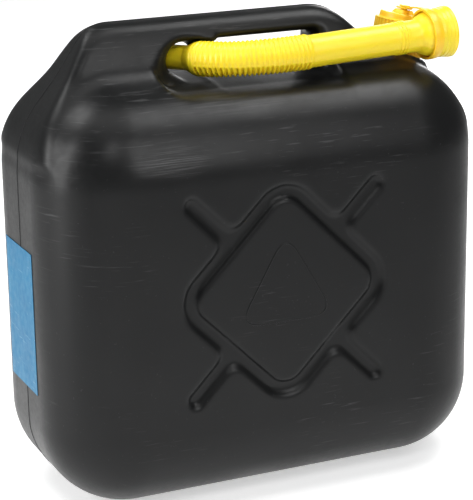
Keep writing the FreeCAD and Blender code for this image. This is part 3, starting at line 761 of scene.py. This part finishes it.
@dataclass
class Can:
    """The blown shell: tank, handle, finger gap, tip seat, marks, neck pad, and the lines on its skin."""

    half_width: float = 190.0
    half_depth: float = 100.0
    height: float = 386.0
    body_height: float = 340.0
    edge_round: float = 70.0
    skin: float = 0.45
    cell: float = 2.4
    handle_left: float = -128.0
    handle_right: float = 80.0
    slope_foot: tuple = (-178.5, 311.0)
    sunk_foot: tuple = (-181.5, 262.0)
    fall_foot: tuple = (140.0, 326.0)
    crown_edge: tuple = (8.0, 386.0)
    bevel_foot: tuple = (17.5, 375.5)
    root_foot: tuple = (35.0, 330.0)
    buried: float = 296.0
    gap_left: float = -36.5
    gap_right: float = 63.5
    gap_floor: float = 336.0
    floor_crown: float = 0.5
    floor_bend: float = 420.0
    ceiling: float = 365.0
    tooth: float = 11.0
    seat: tuple = (-51.5, 351.5)
    seat_radius: float = 12.5
    seat_flare: float = 29.0
    mark_x: float = -4.0
    mark_height: float = 177.0
    mark_reach: float = 89.8
    mark_arm: float = 111.5
    mark_half: float = 5.9
    mark_depth: float = 4.2
    mark_corner: float = 22.0
    triangle_reach: float = 48.5
    triangle_corner: float = 12.0
    pad_radius: float = 24.6
    pad_length: float = 2.0
    cap_room: float = 24.6
    spout_room: float = 15.1
    stored_spout: tuple = ()

    def tank(self, x: np.ndarray, y: np.ndarray, z: np.ndarray) -> np.ndarray:
        """Box with rounded edges: length of the part of |p - centre| beyond the core box, less the radius.

        Args:
            x: positions across the can.
            y: positions from front to back.
            z: heights.

        Returns:
            Signed distances, negative inside.
        """
        middle = self.body_height / 2
        core = np.array([self.half_width, self.half_depth, middle]) - self.edge_round
        beyond = [np.abs(x) - core[0], np.abs(y) - core[1], np.abs(z - middle) - core[2]]
        outside = np.sqrt(sum(np.maximum(part, 0) ** 2 for part in beyond))
        inside = np.minimum(np.maximum(np.maximum(beyond[0], beyond[1]), beyond[2]), 0)
        return outside + inside - self.edge_round

    def handle(self, x: np.ndarray, y: np.ndarray, z: np.ndarray) -> np.ndarray:
        """Wedge of the handle: the soft maximum of its side planes and of its section's planes.

        Args:
            x: positions across the can.
            y: positions from front to back.
            z: heights.

        Returns:
            Signed distances, negative inside.
        """
        slope = half_plane(x, z, (self.handle_left, self.height), self.slope_foot)
        lower = half_plane(x, z, self.slope_foot, self.sunk_foot)
        side = soft_max(slope, lower, 8)
        side = soft_max(side, self.buried - z, 4)
        side = soft_max(side, z - self.height, 14)
        side = soft_max(side, half_plane(x, z, self.fall_foot, (self.handle_right, self.height)), 14)
        thick = np.abs(y)
        bevel = half_plane(thick, z, self.bevel_foot, self.crown_edge)
        face = half_plane(thick, z, self.root_foot, self.bevel_foot)
        section = soft_max(bevel, face, 5)
        return soft_max(side, section, 9)

    def opening(self, x: np.ndarray, y: np.ndarray, z: np.ndarray) -> np.ndarray:
        """Finger gap with its slanted tooth, the flared seat, and the passage between them.

        The flare is a circle's arc across the handle, and the floor falls by the square of the distance
        from the middle.

        Args:
            x: positions across the can.
            y: positions from front to back.
            z: heights.

        Returns:
            Signed distances, negative in the opening.
        """
        flare = self.seat_flare - np.sqrt(self.seat_flare ** 2 - np.minimum(np.abs(y), 27) ** 2)
        gap = soft_max(x - self.gap_right - 0.35 * flare, z - self.ceiling - 0.55 * flare, 7)
        slant = half_plane(x, z, (self.gap_left + 30, self.ceiling - self.tooth + 30),
                           (self.gap_left, self.ceiling - self.tooth))
        gap = soft_max(gap, soft_max(slant, self.gap_left - x, 4), 2)
        seat = np.hypot(x - self.seat[0], z - self.seat[1]) - self.seat_radius - 0.9 * flare
        middle = (self.gap_left + self.seat[0]) / 2
        passage = np.maximum(np.abs(x - middle) - 12, z - self.ceiling + self.tooth)
        space = soft_min(soft_min(gap, passage, 3), seat, 4)
        floor = self.gap_floor + self.floor_crown - np.minimum(np.abs(y), 40) ** 2 / self.floor_bend
        return soft_max(space, floor - z, 8)

    def mark(self, x: np.ndarray, z: np.ndarray) -> np.ndarray:
        """Share of the channel's depth, from the distances to a rounded diamond and its diagonal arms.

        The diamond is a rounded square in coordinates turned by 45 degrees, and each arm lies along one
        of those coordinates. The outer bank is soft and the bank of the inner plateau is steeper.

        Args:
            x: positions across the can.
            z: heights.

        Returns:
            Shares, 0 outside the channel and 1 on its floor.
        """
        across, height = x - self.mark_x, z - self.mark_height
        first, second = np.abs(across + height) / math.sqrt(2), np.abs(across - height) / math.sqrt(2)
        half = self.mark_reach / math.sqrt(2)
        core = half - self.mark_corner
        beyond = np.hypot(np.maximum(first - core, 0), np.maximum(second - core, 0))
        ring = beyond + np.minimum(np.maximum(first, second) - core, 0) - self.mark_corner
        arm_one = np.hypot(np.maximum(first - self.mark_arm, 0) + np.maximum(half - first, 0), second)
        arm_two = np.hypot(np.maximum(second - self.mark_arm, 0) + np.maximum(half - second, 0), first)
        bank = soft_min(ring, np.minimum(arm_one, arm_two), 12)
        outer = smooth((self.mark_half + 2.6 - bank) / 6.0)
        inner = smooth((self.mark_half + 0.8 + ring) / 3.2)
        return outer * inner

    def spout_clearance(self, points: np.ndarray) -> np.ndarray:
        """Distance from points to the stored spout's middle line, less the room round it.

        Args:
            points: array of shape (n, 3).

        Returns:
            Signed distances, negative in the spout's room.
        """
        nearest = np.full(len(points), 1e3)
        for spot, radius in zip(*self.stored_spout):
            nearest = np.minimum(nearest, np.linalg.norm(points - spot, axis=1) - radius)
        return nearest

    def field(self, x: np.ndarray, y: np.ndarray, z: np.ndarray) -> np.ndarray:
        """Whole can: tank with its marks and slow waves, handle, neck pad, and what is cut from them.

        The faces wave by a product and a sum of sines, under half a millimetre.

        Args:
            x: positions across the can.
            y: positions from front to back.
            z: heights.

        Returns:
            Signed distances, negative inside.
        """
        tank = self.tank(x, y, z)
        wave = 0.28 * np.sin(x / 31 + 0.6) * np.sin(z / 37 + 0.9) + 0.18 * np.sin(x / 17 + z / 23)
        flat = smooth((np.abs(y) - 85) / 12)
        tank = tank + flat * (self.mark_depth * self.mark(x, z) + wave + 0.5)
        value = soft_min(tank, self.handle(x, y, z), 18)
        high = z > 300
        if not np.any(high):
            return value + self.skin
        xs, ys, zs = x[high], y[high], z[high]
        neck = neck_axes()
        offset = np.stack([xs, ys, zs], axis=-1) - neck.origin
        along = offset @ neck.along
        radial = np.linalg.norm(offset - along[:, None] * neck.along, axis=1)
        top = value[high]
        pad = np.maximum(np.maximum(radial - self.pad_radius, along - self.pad_length), -20 - along)
        top = soft_min(top, pad, 16)
        top = soft_max(top, -np.maximum(radial - self.cap_room, self.pad_length - along), 2.5)
        top = soft_max(top, -self.opening(xs, ys, zs), 6)
        close = (top < 12) & (top > -30) & (zs > 325)
        if np.any(close):
            clear = self.spout_clearance(np.stack([xs[close], ys[close], zs[close]], axis=-1))
            top[close] = soft_max(top[close], -clear, 2.5)
        value = value.copy()
        value[high] = top
        return value + self.skin

    def build(self) -> bpy.types.Object:
        """Shell of the can as one closed surface.

        Returns:
            The new object.
        """
        low = np.array([-self.half_width, -self.half_depth, 0]) - 2 * self.cell
        high = np.array([self.half_width, self.half_depth, self.height]) + 2 * self.cell
        points, faces = surface_net(self.field, low, high, self.cell)
        return put_mesh("can_shell", points, faces)

    def outline(self, count: int = 720) -> np.ndarray:
        """Points where rays from the middle leave the can in the plane of its parting line, by bisection.

        Args:
            count: number of rays.

        Returns:
            Array of shape (count, 3).
        """
        angle = np.arange(count) * TURN / count
        heading = np.stack([np.cos(angle), np.zeros(count), np.sin(angle)], axis=-1)
        centre = np.array([0.0, 0.0, 200.0])
        near, far = np.full(count, 120.0), np.full(count, 330.0)
        near[(angle > 0.35 * math.pi) & (angle < 0.72 * math.pi)] = 172.0
        for _ in range(24):
            middle = (near + far) / 2
            inside = self.field(*(centre + heading * middle[:, None]).T) < 0
            near = np.where(inside, middle, near)
            far = np.where(inside, far, middle)
        return centre + heading * near[:, None]

    def seam(self) -> bpy.types.Object:
        """Fine ridge of the mould's parting line all round the can.

        Returns:
            The new object.
        """
        path = self.outline()
        step = np.roll(path, -1, axis=0) - np.roll(path, 1, axis=0)
        step = step / np.linalg.norm(step, axis=1)[:, None]
        across = np.repeat(np.array([[0.0, 1.0, 0.0]]), len(path), axis=0)
        points, faces = swept(path, across, np.cross(step, across) * -1, half_round(1.1, 0.35), True)
        return put_mesh("parting_line", points, faces, merge=0.001)

    def triangle(self, side: Side) -> bpy.types.Object:
        """Fine rounded triangle in the middle of the mark, as a low ridge along its outline.

        Args:
            side: face of the can.

        Returns:
            The new object.
        """
        turns = [math.radians(90 + 120 * index) for index in range(3)]
        corners = [(self.mark_x + self.triangle_reach * math.cos(turn),
                    self.mark_height + self.triangle_reach * math.sin(turn), self.triangle_corner)
                   for turn in turns]
        line = rounded_line(corners, True, 10)
        line = finer(np.concatenate([line, line[:1]]), 3.0)[:-1]
        depth = np.full(len(line), (self.half_depth - 2.0) * side.value)
        path = onto_surface(self.field, np.stack([line[:, 0], depth, line[:, 1]], axis=-1))
        step = np.roll(path, -1, axis=0) - np.roll(path, 1, axis=0)
        step = step / np.linalg.norm(step, axis=1)[:, None]
        lift = np.repeat(np.array([[0.0, float(side.value), 0.0]]), len(path), axis=0)
        points, faces = swept(path, np.cross(step, lift), lift, half_round(1.3, 0.3), True)
        return put_mesh("triangle_line_" + side.name.lower(), points, faces, merge=0.001)


@dataclass
class Neck:
    """Threaded neck of the can, mostly hidden by its cap."""

    radius: float = 17.2
    bore: float = 14.5
    length: float = 29.6
    foot: float = -8.0
    pitch: float = 6.0
    turns: float = 1.6
    tall: float = 1.6

    def thread(self, along: np.ndarray, out: np.ndarray, turn: np.ndarray) -> np.ndarray:
        """Outside radius with one coarse ridge that climbs by the pitch in each turn and fades at its ends.

        Args:
            along: positions along the axis.
            out: radii of the plain neck.
            turn: angles round the axis.

        Returns:
            New radii.
        """
        start = self.length - self.pitch * self.turns - 4
        climb = (along - start) / self.pitch - turn / TURN
        wound = np.round(climb) + turn / TURN
        ridge = smooth((0.24 - np.abs(climb - np.round(climb))) / 0.12)
        ends = smooth(wound * 6 + 0.5) * smooth((self.turns - wound) * 6)
        return np.where(out > self.radius - 0.1, out + self.tall * ridge * ends, out)

    def build(self) -> bpy.types.Object:
        """Neck as a closed ring section turned about its axis.

        Returns:
            The new object.
        """
        line = rounded_line([(self.foot, self.bore, 0), (self.foot, self.radius, 0),
                             (self.length, self.radius, 0.8), (self.length, self.bore, 0.8)], True, 4)
        line = finer(np.concatenate([line, line[:1]]), 0.7)[:-1]
        points, faces = lathe(line, neck_axes(), 96, True, self.thread)
        return put_mesh("neck", points, faces, merge=0.001)


# ------------------------------------------------------------------ the cap

@dataclass
class Cap:
    """Ribbed screw cap with a raised top, a tapered boss and the headed post that the strap turns on."""

    low: float = 3.2
    shoulder: float = 32.0
    under: float = 31.3
    top: float = 37.2
    bore: float = 19.4
    rim_bore: float = 17.6
    outer: float = 22.6
    crown: float = 19.6
    ribs: int = 40
    rib_depth: float = 1.1
    bore_step: float = 3.8
    boss: float = 8.6
    boss_top: float = 7.2
    boss_rise: float = 3.1
    post: float = 3.0
    post_rise: float = 2.7
    head: float = 4.8
    head_rise: float = 1.2

    def ribbed(self, along: np.ndarray, out: np.ndarray, turn: np.ndarray) -> np.ndarray:
        """Skirt radius cut back between ribs, level at the skirt's edge and its top.

        Args:
            along: positions along the axis.
            out: radii of the plain cap.
            turn: angles round the axis.

        Returns:
            New radii.
        """
        level = smooth((along - self.low - 1.2) / 0.8) * smooth((self.shoulder - 0.5 - along) / 0.8)
        groove = smooth(0.6 - 0.9 * np.cos(turn * self.ribs))
        return np.where(out > self.outer - 0.9, out - self.rib_depth * groove * level, out)

    def build(self) -> bpy.types.Object:
        """Cap from its profile turned about the neck's axis.

        Returns:
            The new object.
        """
        foot = self.top + self.boss_rise
        throat = foot + self.post_rise
        step = self.under - self.bore_step
        line = rounded_line([
            (self.under, 0.0, 0), (self.under, self.rim_bore, 0.5), (step, self.rim_bore, 0.3),
            (step, self.bore, 0.4), (self.low, self.bore, 0.3), (self.low, self.outer, 0.5),
            (self.shoulder, self.outer, 1.2), (self.shoulder + 0.2, self.crown, 0.8),
            (self.top - 0.1, self.crown - 0.5, 1.2), (self.top, self.boss + 1.0, 1.0),
            (foot, self.boss_top, 0.6), (foot, self.post, 0.3), (throat, self.post, 0.3),
            (throat, self.head, 0.3), (throat + self.head_rise, self.head - 0.4, 0.5),
            (throat + self.head_rise, 0.0, 0)], False, 5)
        line = finer(line, 1.6)
        points, faces = lathe(line, neck_axes(), self.ribs * 8, False, self.ribbed)
        return put_mesh("screw_cap", points, faces, merge=0.002)


# ------------------------------------------------------------------ the spout

@dataclass
class Spout:
    """Spout in its own frame: X out of the mouth, bent in the plane of X and Y."""

    tube: float = 13.0
    wall: float = 1.6
    tube_length: float = 127.0
    collar_back: float = 40.6
    collar_step: float = 3.3
    collar_width: float = 1.7
    collar_rise: float = 0.65
    flare_back: float = 29.0
    bell_back: float = 22.0
    bell: float = 18.3
    flange: float = 18.9
    flange_back: float = 9.0
    flange_sheet: float = 2.0
    bellows: float = 14.25
    bellows_inner: float = 11.05
    groove: float = 2.1
    ridges: int = 25
    wide_bend: float = 150.0
    wide_turn: float = math.radians(19.6)
    tight_bend: float = 63.0
    tight_turn: float = math.radians(35.4)
    cone: float = 10.0
    tip: float = 10.0
    tip_length: float = 56.0
    tube_seam: float = math.radians(211.0)
    hose_seams: tuple = (math.radians(205.0), math.radians(193.0))

    def middle_line(self, share: np.ndarray) -> tuple:
        """Points and headings of the bellows' middle line.

        The first stretch is an arc of the wide radius and the second one of the tight radius.

        Args:
            share: 0 at the tube to 1 at the tip, in proportion to length.

        Returns:
            Points and unit headings, each of shape (n, 3).
        """
        first, second = self.wide_bend * self.wide_turn, self.tight_bend * self.tight_turn
        length = share * (first + second)
        turn = np.where(length < first, length / self.wide_bend,
                        self.wide_turn + (length - first) / self.tight_bend)
        early = np.minimum(turn, self.wide_turn)
        x = -self.tube_length - self.wide_bend * np.sin(early)
        x = x - self.tight_bend * (np.sin(turn) - np.sin(early))
        y = self.wide_bend * (1 - np.cos(early)) + self.tight_bend * (np.cos(early) - np.cos(turn))
        zero = np.zeros_like(x)
        points = np.stack([x, y, zero], axis=-1)
        heading = np.stack([-np.cos(turn), np.sin(turn), zero], axis=-1)
        return points, heading

    def tip_axes(self) -> Axes:
        """Frame at the bellows' end, along the slim tip.

        Returns:
            The frame.
        """
        base = spout_axes()
        point, heading = self.middle_line(np.array([1.0]))
        along = unit(base.place(heading)[0] - base.origin)
        return Axes(base.place(point)[0], along, np.cross(base.up, along), base.up)

    def way(self, room: float) -> tuple:
        """Balls along the stored spout that keep the can clear of it: middles and radii.

        Args:
            room: radius of the balls along the bellows.

        Returns:
            Middles (n, 3) and radii (n).
        """
        base, tip = spout_axes(), self.tip_axes()
        hose = base.place(self.middle_line(np.linspace(0, 1, 36))[0])
        reach = np.linspace(0, self.cone + self.tip_length + 20, 40)
        slim = tip.origin + reach[:, None] * tip.along
        narrow = room - (self.bellows - self.tip) * np.clip(reach / self.cone, 0, 1)
        out = tip.origin - np.linspace(3, 60, 20)[:, None] * tip.along
        return (np.concatenate([hose, slim, out]),
                np.concatenate([np.full(36, room), narrow, np.full(20, room)]))

    def seams(self, out: np.ndarray, turn: np.ndarray, rise: float, limit: float) -> np.ndarray:
        """Radius with two fine mould lines on opposite sides.

        Args:
            out: radii of the plain tube.
            turn: angles round the axis.
            rise: height of the lines.
            limit: radius under which nothing changes, which spares the inner wall.

        Returns:
            New radii.
        """
        swing = np.abs(((turn - self.tube_seam + math.pi / 2) % math.pi) - math.pi / 2)
        return np.where(out > limit, out + rise * smooth(1.6 - swing * 26), out)

    def build_tube(self) -> bpy.types.Object:
        """Tube, collars, flare, bell and end flange as one closed ring section.

        Returns:
            The new object.
        """
        outer = [(-self.tube_length, self.tube, 0.3)]
        for index in (2, 1, 0):
            back = -self.collar_back - self.collar_width - index * self.collar_step
            outer += [(back, self.tube, 0.4), (back + 0.2, self.tube + self.collar_rise, 0.4),
                      (back + self.collar_width - 0.2, self.tube + self.collar_rise, 0.4),
                      (back + self.collar_width, self.tube, 0.4)]
        face = -self.flange_back
        outer += [(-self.flare_back, self.tube + 0.2, 5), (-self.bell_back - 3, self.bell - 2.4, 5),
                  (-self.bell_back + 3, self.bell, 6), (face - self.flange_sheet, self.bell, 0.4),
                  (face - self.flange_sheet, self.flange, 0.3), (face, self.flange, 0.3)]
        inner = [(face, self.bell - self.wall, 0.4), (-self.bell_back + 1, self.bell - self.wall, 4),
                 (-self.flare_back + 1, self.tube - self.wall, 4),
                 (-self.tube_length, self.tube - self.wall, 0.3)]
        line = rounded_line(outer + inner, True, 6)
        line = finer(np.concatenate([line, line[:1]]), 6.0)[:-1]
        points, faces = lathe(line, spout_axes(), 96, True,
                              lambda along, out, turn: self.seams(out, turn, 0.22, self.tube - 0.3))
        return put_mesh("spout_stem", points, faces, merge=0.002)

    def build_bellows(self) -> bpy.types.Object:
        """Ribbed hose: radius = outside less a groove that follows a raised cosine along the length.

        The groove is deepest under the front mould line, shallow on the front above it, and half as deep
        over the top and the back. It fades out at the two mould lines, which wind a little along the hose.
        A plain inner wall closes the section at both ends.

        Returns:
            The new object.
        """
        around, per_ridge = 96, 8
        steps = self.ridges * per_ridge + 1
        share = np.linspace(0, 1, steps)
        wave = (0.5 + 0.5 * np.cos(TURN * share * self.ridges)) ** 1.3
        ends = np.minimum(smooth(share * 40), smooth((1 - share) * 40))
        turn = np.arange(around) * TURN / around
        first, last = self.hose_seams
        seam = (first + (last - first) * share)[:, None]
        swing = np.abs(((turn - seam + math.pi / 2) % math.pi) - math.pi / 2)
        flat = smooth(1.4 - swing * 11)
        past = (turn - seam) % TURN
        under = smooth(past / 0.25) * smooth((math.pi * 0.75 - past) / 0.5)
        front = smooth((TURN - past) / 0.25) * smooth((past - TURN + 1.5) / 0.5)
        amount = 0.55 + 0.45 * under - 0.27 * front
        depth = self.groove * amount * ends[:, None] * wave[:, None] * (1 - 0.8 * flat)
        outer = self.bellows - 0.55 * (1 - ends)[:, None] - depth
        inner = np.full((2, around), self.bellows_inner)
        share = np.concatenate([share, [1.0, 0.0]])
        radius = np.concatenate([outer, inner])
        middle, heading = self.middle_line(share)
        side = np.cross(np.array([0.0, 0.0, 1.0]), heading)
        ring = side[:, None, :] * np.cos(turn)[None, :, None] * -1
        ring[:, :, 2] += np.sin(turn)[None, :]
        grid = middle[:, None, :] + ring * radius[:, :, None]
        points = spout_axes().place(grid.reshape(-1, 3))
        return put_mesh("bellows", points, grid_faces(len(share), around, True, True), merge=0.002)

    def build_tip(self) -> bpy.types.Object:
        """Short shoulder, cone and slim open tip.

        Returns:
            The new object.
        """
        length = self.cone + self.tip_length
        line = rounded_line([
            (0, self.bellows - 0.5, 0.5), (1.2, self.bellows - 0.6, 0.6), (self.cone, self.tip, 4),
            (length - 2, self.tip - 0.1, 1), (length, self.tip - 0.9, 0.5),
            (length, self.tip - self.wall, 0.4), (self.cone, self.tip - self.wall, 3),
            (0, self.bellows_inner, 0.5)], True, 6)
        line = finer(np.concatenate([line, line[:1]]), 5.0)[:-1]
        points, faces = lathe(line, self.tip_axes(), 80, True)
        return put_mesh("spout_point", points, faces, merge=0.002)


@dataclass
class UnionNut:
    """Stepped union nut round the spout's mouth."""

    back: float = -13.4
    radius: float = 21.2
    bore: float = 19.4
    lip_bore: float = 18.5
    lip: float = 2.2
    steps: tuple = ((-10.6, 1.1), (-7.2, 0.8), (-3.8, 0.3))

    def build(self) -> bpy.types.Object:
        """Nut with low steps that grow towards its front edge.

        Returns:
            The new object.
        """
        line = [(self.back, self.lip_bore, 0.3), (self.back, self.radius - 2.0, 1.2)]
        for start, drop in self.steps:
            line += [(start, self.radius - drop - 0.35, 0.4), (start + 0.5, self.radius - drop, 0.4)]
        line += [(0.0, self.radius, 0.6), (0.0, self.bore, 0.4), (self.back + self.lip, self.bore, 0.3),
                 (self.back + self.lip, self.lip_bore, 0.3)]
        line = rounded_line(line, True, 5)
        line = finer(np.concatenate([line, line[:1]]), 2.0)[:-1]
        points, faces = lathe(line, spout_axes(), 128, True)
        return put_mesh("union_nut", points, faces, merge=0.002)


@dataclass
class Strap:
    """Strap moulded in one: eyelet on the cap's post, flat band, and a ring round the spout's bell.

    bend_start and bend_end are metres from the ring's middle; they are not used.
    """

    eyelet_hole: float = 3.5
    eyelet_outer: float = 6.9
    sheet: float = 1.4
    seat: float = 41.1
    band: float = 6.0
    band_root: float = 1.5
    band_arch: float = 1.4
    ring_back: float = 18.2
    ring_yaw: float = math.radians(2.0)
    ring_inner: float = 18.9
    ring_wall: float = 2.0
    ring_width: float = 8.0
    bend_start: tuple = (0.0, 0.0147, 0.0147)
    bend_end: tuple = (0.0, 0.0282, 0.0282)

    def ring_axes(self) -> Axes:
        """Frame of the ring, which sits a little askew on the bell.

        Returns:
            The frame.
        """
        base = spout_axes()
        along = unit(base.along * math.cos(self.ring_yaw) + base.across * math.sin(self.ring_yaw))
        return Axes(base.place(np.array([[-self.ring_back, 0.0, 0.0]]))[0], along,
                    np.cross(base.up, along), base.up)

    def build(self) -> bpy.types.Object:
        """Eyelet, band and ring in one mesh.

        Returns:
            The new object.
        """
        neck, ring = neck_axes(), self.ring_axes()
        eyelet = rounded_line([(self.seat, self.eyelet_hole, 0.3), (self.seat, self.eyelet_outer, 0.6),
                               (self.seat + self.sheet, self.eyelet_outer, 0.6),
                               (self.seat + self.sheet, self.eyelet_hole, 0.3)], True, 4)
        half = self.ring_width / 2
        outer = self.ring_inner + self.ring_wall
        hoop = rounded_line([(-half, self.ring_inner, 0.3), (-half, outer - 0.3, 0.5), (0, outer, 3),
                             (half, outer - 0.3, 0.5), (half, self.ring_inner, 0.3)], True, 5)
        first = neck.place(np.array([[self.seat + self.sheet / 2, 0.0, 0.0]]))[0]
        last = ring.place(np.array([[0.0, 0.0, outer - self.sheet / 2]]))[0]
        flat = unit((last - first) * np.array([1, 1, 0]))
        begin = first + flat * (self.eyelet_hole + self.band_root)
        share = np.linspace(0, 1, 25)[:, None]
        lift = np.array([0, 0, 1.0])
        path = begin + (last - begin) * share + lift * self.band_arch * np.sin(share * math.pi)
        step = np.gradient(path, axis=0)
        step = step / np.linalg.norm(step, axis=1)[:, None]
        side = np.cross(step, lift)
        side = side / np.linalg.norm(side, axis=1)[:, None]
        a, b = self.band / 2, self.sheet / 2
        section = rounded_line([(-a, -b, 0.5), (a, -b, 0.5), (a, b, 0.5), (-a, b, 0.5)], True, 4)
        parts = [lathe(eyelet, neck, 64, True), lathe(hoop, ring, 112, True),
                 swept(path, side, np.cross(side, step), section, False)]
        points, faces = join(parts)
        return put_mesh("strap", points, faces, merge=0.002)


# ------------------------------------------------------------------ stage, lights and camera

@dataclass
class Studio:
    """Pale floor, soft lights and the camera."""

    eye: tuple = (-0.61626, -1.38429, 0.63840)
    right: tuple = (0.91233, -0.40918, -0.01494)
    down: tuple = (-0.13058, -0.25616, -0.95777)
    ahead: tuple = (0.38808, 0.87576, -0.28713)
    focal: float = 1896.3
    image_width: float = 473.0
    sensor: float = 36.0
    light_distance: float = 1.7
    aim: float = 0.2
    lights: tuple = (
        ("left_strip", -91, 16, (0.22, 1.5), 24.0), ("front_box", 15, 32, (0.64, 1.2), 5.0),
        ("high_left", -24, 44, (0.3, 0.5), 8.0), ("high_right", 80, 64, (0.8, 0.5), 9.0),
        ("high_back", -132, 57, (0.7, 0.5), 8.0), ("back_strip", 142, 14, (0.4, 0.9), 4.5),
        ("ceiling", -10, 84, (1.3, 0.9), 1.8))
    sky: float = 0.08
    glow: float = 0.5
    glow_far: float = 0.95
    floor_half_width: float = 6000.0
    floor_front: float = -4000.0
    floor_depth: float = 3000.0
    floor_sweep: float = 1400.0
    wall_top: float = 5000.0

    def light(self, name: str, azimuth: float, elevation: float, size: tuple, radiance: float) -> None:
        """Rectangular soft light that faces the can.

        Args:
            name: name of the light.
            azimuth: degrees round the can, 0 in front of it and 90 on its right.
            elevation: degrees above the middle of the can.
            size: width and height in metres.
            radiance: brightness of its face.
        """
        turn, climb = math.radians(azimuth), math.radians(elevation)
        flat = math.cos(climb)
        heading = Vector((flat * math.sin(turn), -flat * math.cos(turn), math.sin(climb)))
        data = bpy.data.lights.new(name, "AREA")
        data.shape = "RECTANGLE"
        data.size, data.size_y = size
        data.energy = radiance * size[0] * size[1] * math.pi
        item = bpy.data.objects.new(name, data)
        item.location = Vector((0, 0, self.aim)) + heading * self.light_distance
        item.rotation_euler = heading.to_track_quat("Z", "Y").to_euler()
        bpy.context.scene.collection.objects.link(item)

    def floor(self) -> None:
        """Pale floor that rises behind the can in a wide curve.

        It glows in a lane that runs back from the can and widens, 0.455 m to the right for each metre
        back, and fades beside the lane and beyond it.
        """
        turn = np.linspace(0, math.pi / 2, 24)
        back = np.stack([self.floor_depth + self.floor_sweep * np.sin(turn),
                         self.floor_sweep * (1 - np.cos(turn))], axis=-1)
        line = np.concatenate([[[self.floor_front, 0.0]], back,
                               [[self.floor_depth + self.floor_sweep, self.wall_top]]])
        across = np.linspace(-self.floor_half_width, self.floor_half_width, 9)
        x, y = np.meshgrid(across, line[:, 0])
        z = np.repeat(line[:, 1:2], len(across), axis=1)
        floor = put_mesh("floor", np.stack([x, y, z], axis=-1).reshape(-1, 3),
                         grid_faces(len(line), len(across), False, False))
        nodes = Nodes("pale_floor")
        tone = nodes.ramp(nodes.noise(3, 2), 0.3, 0.7, 0, 1)
        nodes.link(nodes.mix(tone, (0.86, 0.86, 0.86), (0.88, 0.88, 0.88)), nodes.shader.inputs["Base Color"])
        nodes.shader.inputs["Roughness"].default_value = 0.8
        nodes.shader.inputs["Emission Color"].default_value = (1.0, 1.0, 1.0, 1.0)
        parts = nodes.add("ShaderNodeSeparateXYZ")
        nodes.link(nodes.place, parts.inputs["Vector"])
        across, back = parts.outputs["X"], parts.outputs["Y"]
        lane = nodes.calc("ABSOLUTE", nodes.calc("SUBTRACT", across, nodes.calc("MULTIPLY", back, 0.455)))
        beside = nodes.calc("SUBTRACT", lane, nodes.calc("MULTIPLY", back, 0.145))
        glow = nodes.calc("MULTIPLY", nodes.ramp(beside, 0.26, 0.62, 1, 0.1),
                          nodes.ramp(back, 0.2, 1.8, self.glow, self.glow_far))
        glow = nodes.calc("MULTIPLY", glow, nodes.ramp(back, 2.2, 3.0, 1, 0.25))
        nodes.link(glow, nodes.shader.inputs["Emission Strength"])
        floor.data.materials.append(nodes.material)

    def build(self) -> None:
        """Floor, lights, world and camera."""
        self.floor()
        for settings in self.lights:
            self.light(*settings)
        world = bpy.data.worlds.new("studio")
        world.use_nodes = True
        background = world.node_tree.nodes["Background"]
        background.inputs["Color"].default_value = (1, 1, 1, 1)
        background.inputs["Strength"].default_value = self.sky
        bpy.context.scene.world = world
        data = bpy.data.cameras.new("camera")
        data.sensor_fit = "HORIZONTAL"
        data.sensor_width = self.sensor
        data.lens = self.sensor * self.focal / self.image_width
        data.clip_end = 50
        camera = bpy.data.objects.new("camera", data)
        up = [-value for value in self.down]
        behind = [-value for value in self.ahead]
        turn = Matrix((self.right, up, behind)).transposed()
        camera.matrix_world = Matrix.Translation(Vector(self.eye)) @ turn.to_4x4()
        bpy.context.scene.collection.objects.link(camera)
        bpy.context.scene.camera = camera
        bpy.context.scene.view_settings.view_transform = "Standard"


def main() -> None:
    """Build every piece, dress it and set the scene."""
    logging.basicConfig(level=logging.INFO, format="%(name)s %(message)s")
    black = MouldedBlack().build()
    yellow = YellowPlastic("yellow_spout", (0.95, 0.72, 0.02), (0.93, 0.66, 0.015)).build()
    amber = YellowPlastic("yellow_cap", (0.95, 0.60, 0.02), (0.93, 0.54, 0.015)).build()
    rubber = SealRubber().build()
    film = LabelFilm().build()

    spout = Spout()
    can = Can()
    can.stored_spout = spout.way(can.spout_room)
    dress(can.build(), black, "black_polyethylene", "can", "can_body")
    dress(Neck().build(), black, "black_polyethylene", "can")
    dress(can.seam(), black, "black_polyethylene", "can")
    for side in Side:
        dress(can.triangle(side), black, "black_polyethylene", "can")
    dress(Cap().build(), amber, "yellow_cap", "cap", "filler_cap")
    strap_form = Strap()
    strap = strap_form.build()
    dress(strap, amber, "yellow_cap", "", "cap_strap")
    ring = strap_form.ring_axes().origin * MM
    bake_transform(strap)
    dress(spout.build_tube(), yellow, "yellow_spout", "tube", "spout_tube")
    dress(spout.build_tip(), yellow, "yellow_spout", "tip", "spout_tip")
    bellows = spout.build_bellows()
    dress(bellows, yellow, "yellow_spout", "", "spout_bellows")
    ends = spout_axes().place(spout.middle_line(np.array([0.0, 1.0]))[0]) * MM
    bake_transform(bellows)
    dress(UnionNut().build(), yellow, "yellow_spout", "nut", "spout_nut")
    for node, material in (("cap_seal", rubber), ("spout_washer", rubber), ("side_label", film)):
        mesh = frame["nodes"][node].data
        mesh.materials.clear()
        mesh.materials.append(material)
        LOG.info("%s: packed shape, finish %s", node, material.name)
    Studio().build()


if __name__ == "__main__":
    main()
